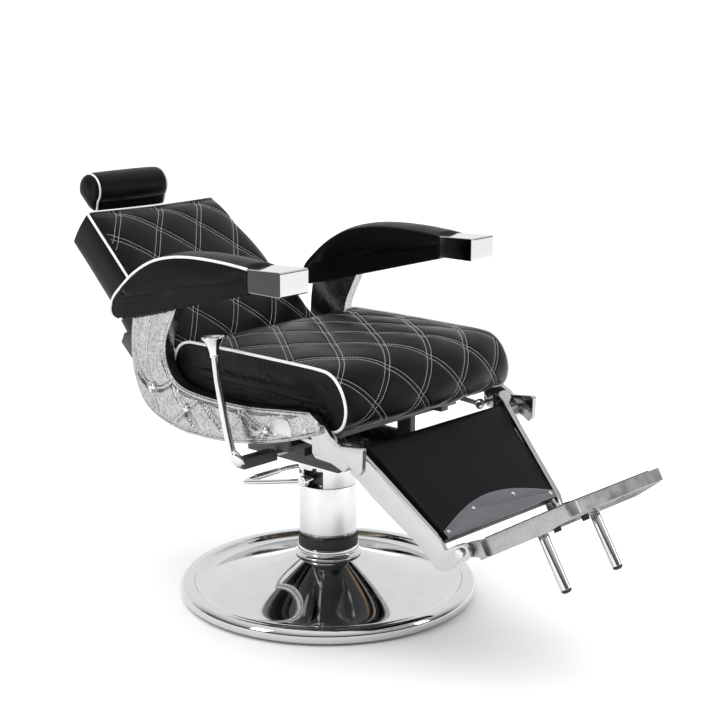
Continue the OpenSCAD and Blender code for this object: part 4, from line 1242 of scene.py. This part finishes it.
def recline_lever():
    """The oval hand lever: it widens downwards and bends in to become the shaft."""
    x, y, z = JOINTS["recline_release"]["pos_m"]
    path = spline([(x, 0.0085, 0.606), (x, 0.002, 0.567), (x, -0.006, 0.532), (x, -0.023, 0.463), (x, -0.0395, 0.412),
                   (x + 0.001, y + 0.002, z + 0.016), (x + 0.008, y, z + 0.002), (x + 0.024, y, z)], 8)
    t = np.linspace(0, 1, len(path))
    wide = np.interp(t, [0, 0.15, 0.6, 0.78, 0.9, 1], np.array([8, 8.5, 11, 15.5, 13, 9]) * MM)
    thick = np.interp(t, [0, 0.15, 0.7, 0.86, 1], np.array([6, 6.5, 7.5, 9, 9]) * MM)
    bar = oval_bar("lever", path, wide, thick)
    shaft = tube("shaft", [(x + 0.02, y, z), (-0.108, y, z)], 7 * MM, sides=32)
    sharp_smooth(shaft, 40)
    obj = join("recline_lever_chrome", [bar, shaft])
    piece(obj, "chrome", "recline_handle", "recline_lever")
    neck = [(0, 0), (8.6, 0), (9.2, 6), (10.8, 15), (14.5, 26), (20, 35), (24, 40.5), (24.6, 43), (23, 45.4),
            (19, 46), (10, 47.2), (0.01, 47.6)]
    knob = lathe("recline_knob", spline(neck, 5) * MM, segments=64)
    placed(knob, Matrix.Translation((x, 0.008, 0.6035)) @ Matrix.Rotation(math.radians(-5), 4, "X"))
    piece(knob, "chrome", "recline_handle", "lever_knob")
    sleeve = refined("recline_sleeve", "lever_sleeve", bevel=4 * MM, segments=4)
    piece(sleeve, "plastic", "recline_handle", "lever_sleeve")


def pump_lever():
    """The foot lever: a bent loop behind the column with a thicker grip, two hubs and its shaft."""
    y0, z0 = JOINTS["pump_stroke"]["pos_m"][1:]
    half = [(90 * MM, y0, z0), (90 * MM, y0 + 0.02, z0 - 0.0045), (90 * MM, 0.16, 0.244), (84 * MM, 0.184, 0.239),
            (66 * MM, 0.197, 0.236), (38 * MM, 0.2, 0.235)]
    loop = np.vstack([half, np.array(half)[::-1] * [-1, 1, 1]])
    rod = tube("rod", spline(loop, 10), 5.6 * MM, sides=24)
    grip = tube("grip", [(-40 * MM, 0.2, 0.235), (40 * MM, 0.2, 0.235)], 8 * MM, sides=32)
    hubs = [tube("hub", [(s * 84 * MM, y0, z0), (s * 97 * MM, y0, z0)], 12 * MM, sides=40) for s in (-1, 1)]
    for o in (grip, *hubs):
        bevelled(o, 1.5 * MM, 3, 50)
        sharp_smooth(o, 40)
    piece(join("pump_lever_chrome", [rod, grip, *hubs]), "chrome", "foot_pump", "pump_lever")
    shaft = refined("pump_shaft_chrome", "pump_shaft", bevel=1 * MM)
    piece(shaft, "chrome", "foot_pump", "pump_shaft")


# ---------------------------------------------------------------- other rounded metal

ROUNDED = [
    # CAD node, body, finish, bevel in millimetres
    ("leg_frame_right", "legrest", "leg_chrome", 2.5), ("leg_frame_left", "legrest", "leg_chrome", 2.5),
    ("footplate", "footrest", "tread", 1.2), ("support_tubes", "footrest", "chrome", 0.8),
    ("foot_rubbers", "footrest", "rubber", 1.0), ("tread_strips", "footrest", "rubber", 0.8),
    ("kick_plate", "legrest", "gunmetal", 0.6), ("kick_screws", "legrest", "chrome", 0.3),
    ("foot_bolts", "legrest", "chrome", 1.0), ("collar_ring", "base", "chrome", 0.5),
    ("collar_band", "base", "rubber", 0.8), ("lower_sleeve", "base", "chrome", 0.6),
    ("upper_sleeve", "chassis", "chrome", 0.6), ("side_plates", "chassis", "badge", 1.2),
    ("headrest_stem", "headrest_slider", "chrome", 0.8), ("push_rods", "push_rod_pair", "steel", 0.8),
    ("lever_block", "chassis", "plastic", 2.0), ("mount_plate", "chassis", "black_steel", 1.2),
    ("chassis_frame", "chassis", "black_steel", 1.2), ("back_frame", "backrest", "black_steel", 1.2),
    ("guide_knob", "clamp_knob", "plastic", 2.0), ("headrest_guide", "backrest", "black_steel", 1.0),
]


LEG_FACE = [(-232, 480), (-245, 465), (-250, 434), (-258, 425), (-290, 428), (-317, 431), (-341, 421),
            (-357, 411), (-367, 422), (-369, 468), (-362, 471), (-309, 465), (-289, 472), (-262, 498), (-246, 506)]
LEG_FACE_X = (272.7, 285.6)


def leg_faces():
    """The flat outer plate of each leg frame's upper end, beside its pivot."""
    outline = resample(np.array(LEG_FACE) * MM, 90, closed=True)
    count = len(outline)
    for side, sign in SIDES.items():
        verts = [(sign * x * MM, y, z) for x in LEG_FACE_X for y, z in outline]
        faces = grid_faces(2, count, close_cols=True)
        faces += [list(range(count))[::-1], [count + k for k in range(count)]]
        obj = face_outwards(new_mesh("leg_face_" + side, verts, faces))
        bevelled(obj, 2 * MM, 3, 50)
        sharp_smooth(obj, 32)
        piece(obj, "leg_chrome", "legrest")


def rounded_metal():
    for node, body, finish, bevel in ROUNDED:
        piece(refined(node + "_finish", node, bevel=bevel * MM), finish, body, node)


# ---------------------------------------------------------------- stage and camera

def camera():
    data = bpy.data.cameras.new("camera")
    data.sensor_width = 36
    data.lens = 79.22
    cam = bpy.data.objects.new("camera", data)
    cam.location = (-2.4809, -2.3918, 1.3457)
    cam.rotation_euler = (math.radians(76.881), 0, math.radians(-47.256))
    link(cam)
    bpy.context.scene.camera = cam


def floor():
    obj = new_mesh("floor", [(-600, -600, 0), (600, -600, 0), (600, 600, 0), (-600, 600, 0)], [(0, 1, 2, 3)], False)
    m, n, l, s = node_material("floor_white")
    tone = texture(n, l, "ShaderNodeTexNoise", 1.5, Detail=3)
    l.new(ramp(n, l, tone.outputs["Fac"], (0.9, 0.9, 0.9), (0.93, 0.93, 0.93)), s.inputs["Base Color"])
    s.inputs["Roughness"].default_value = 0.6
    s.inputs["Specular IOR Level"].default_value = 0.15
    obj.data.materials.append(m)


def softbox(name, location, target, size, power):
    """A rectangular light at a place, turned to a target."""
    data = bpy.data.lights.new(name, "AREA")
    data.shape = "RECTANGLE"
    data.size, data.size_y = size
    data.energy = power
    obj = bpy.data.objects.new(name, data)
    obj.location = location
    obj.rotation_euler = (Vector(target) - Vector(location)).to_track_quat("-Z", "Y").to_euler()
    link(obj)


BRIGHT_SIDE = (0.734, 0.679, 0)


def lights():
    """A dim room, brighter overhead and on one side, with an even light from above and two tall side boxes."""
    world = bpy.data.worlds.new("studio")
    bpy.context.scene.world = world
    world.use_nodes = True
    n, l = world.node_tree.nodes, world.node_tree.links
    coords = n.new("ShaderNodeTexCoord")
    height = n.new("ShaderNodeSeparateXYZ")
    l.new(coords.outputs["Generated"], height.inputs["Vector"])
    tone = n.new("ShaderNodeValToRGB")
    tone.color_ramp.elements[0].position = 0.0
    tone.color_ramp.elements[0].color = (0.5, 0.5, 0.5, 1)
    tone.color_ramp.elements[1].position = 1.0
    tone.color_ramp.elements[1].color = (1.1, 1.1, 1.1, 1)
    for position, value in ((0.02, 0.05), (0.2, 0.1), (0.38, 0.4), (0.6, 0.75)):
        e = tone.color_ramp.elements.new(position)
        e.color = (value, value, value, 1)
    l.new(height.outputs["Z"], tone.inputs["Fac"])
    # one side of the room is bright, and the base plate mirrors it
    behind = n.new("ShaderNodeVectorMath")
    behind.operation = "DOT_PRODUCT"
    behind.inputs[1].default_value = BRIGHT_SIDE
    l.new(coords.outputs["Generated"], behind.inputs[0])
    wall = n.new("ShaderNodeMapRange")
    wall.inputs["From Min"].default_value = 0.15
    wall.inputs["From Max"].default_value = 0.6
    l.new(behind.outputs["Value"], wall.inputs["Value"])
    mix = n.new("ShaderNodeMix")
    mix.data_type = "RGBA"
    mix.inputs["B"].default_value = (1, 1, 1, 1)
    l.new(wall.outputs["Result"], mix.inputs["Factor"])
    l.new(tone.outputs["Color"], mix.inputs["A"])
    l.new(mix.outputs["Result"], n["Background"].inputs["Color"])
    n["Background"].inputs["Strength"].default_value = 1.0
    sun = bpy.data.lights.new("even_top_light", "SUN")
    sun.energy = 2.1
    sun.angle = math.radians(100)
    lamp = bpy.data.objects.new("even_top_light", sun)
    lamp.rotation_euler = (math.radians(-8), math.radians(4), 0)
    lamp.visible_glossy = False
    link(lamp)
    softbox("left_box", (-3.0, 0.4, 1.5), (0, 0, 0.5), (0.7, 1.6), 18)
    softbox("right_box", (1.6, -3.2, 1.6), (0, -0.2, 0.5), (0.7, 1.6), 18)
    bpy.context.scene.view_settings.view_transform = "Standard"


camera()
floor()
lights()
paint_frame()
seat()
backrest()
headrest()
for side_name, side_sign in SIDES.items():
    armrest(side_name, side_sign)
    arm_cap(side_name)
    casting(side_name, side_sign)
calf_pad()
base()
studs()
recline_lever()
pump_lever()
rounded_metal()
leg_faces()
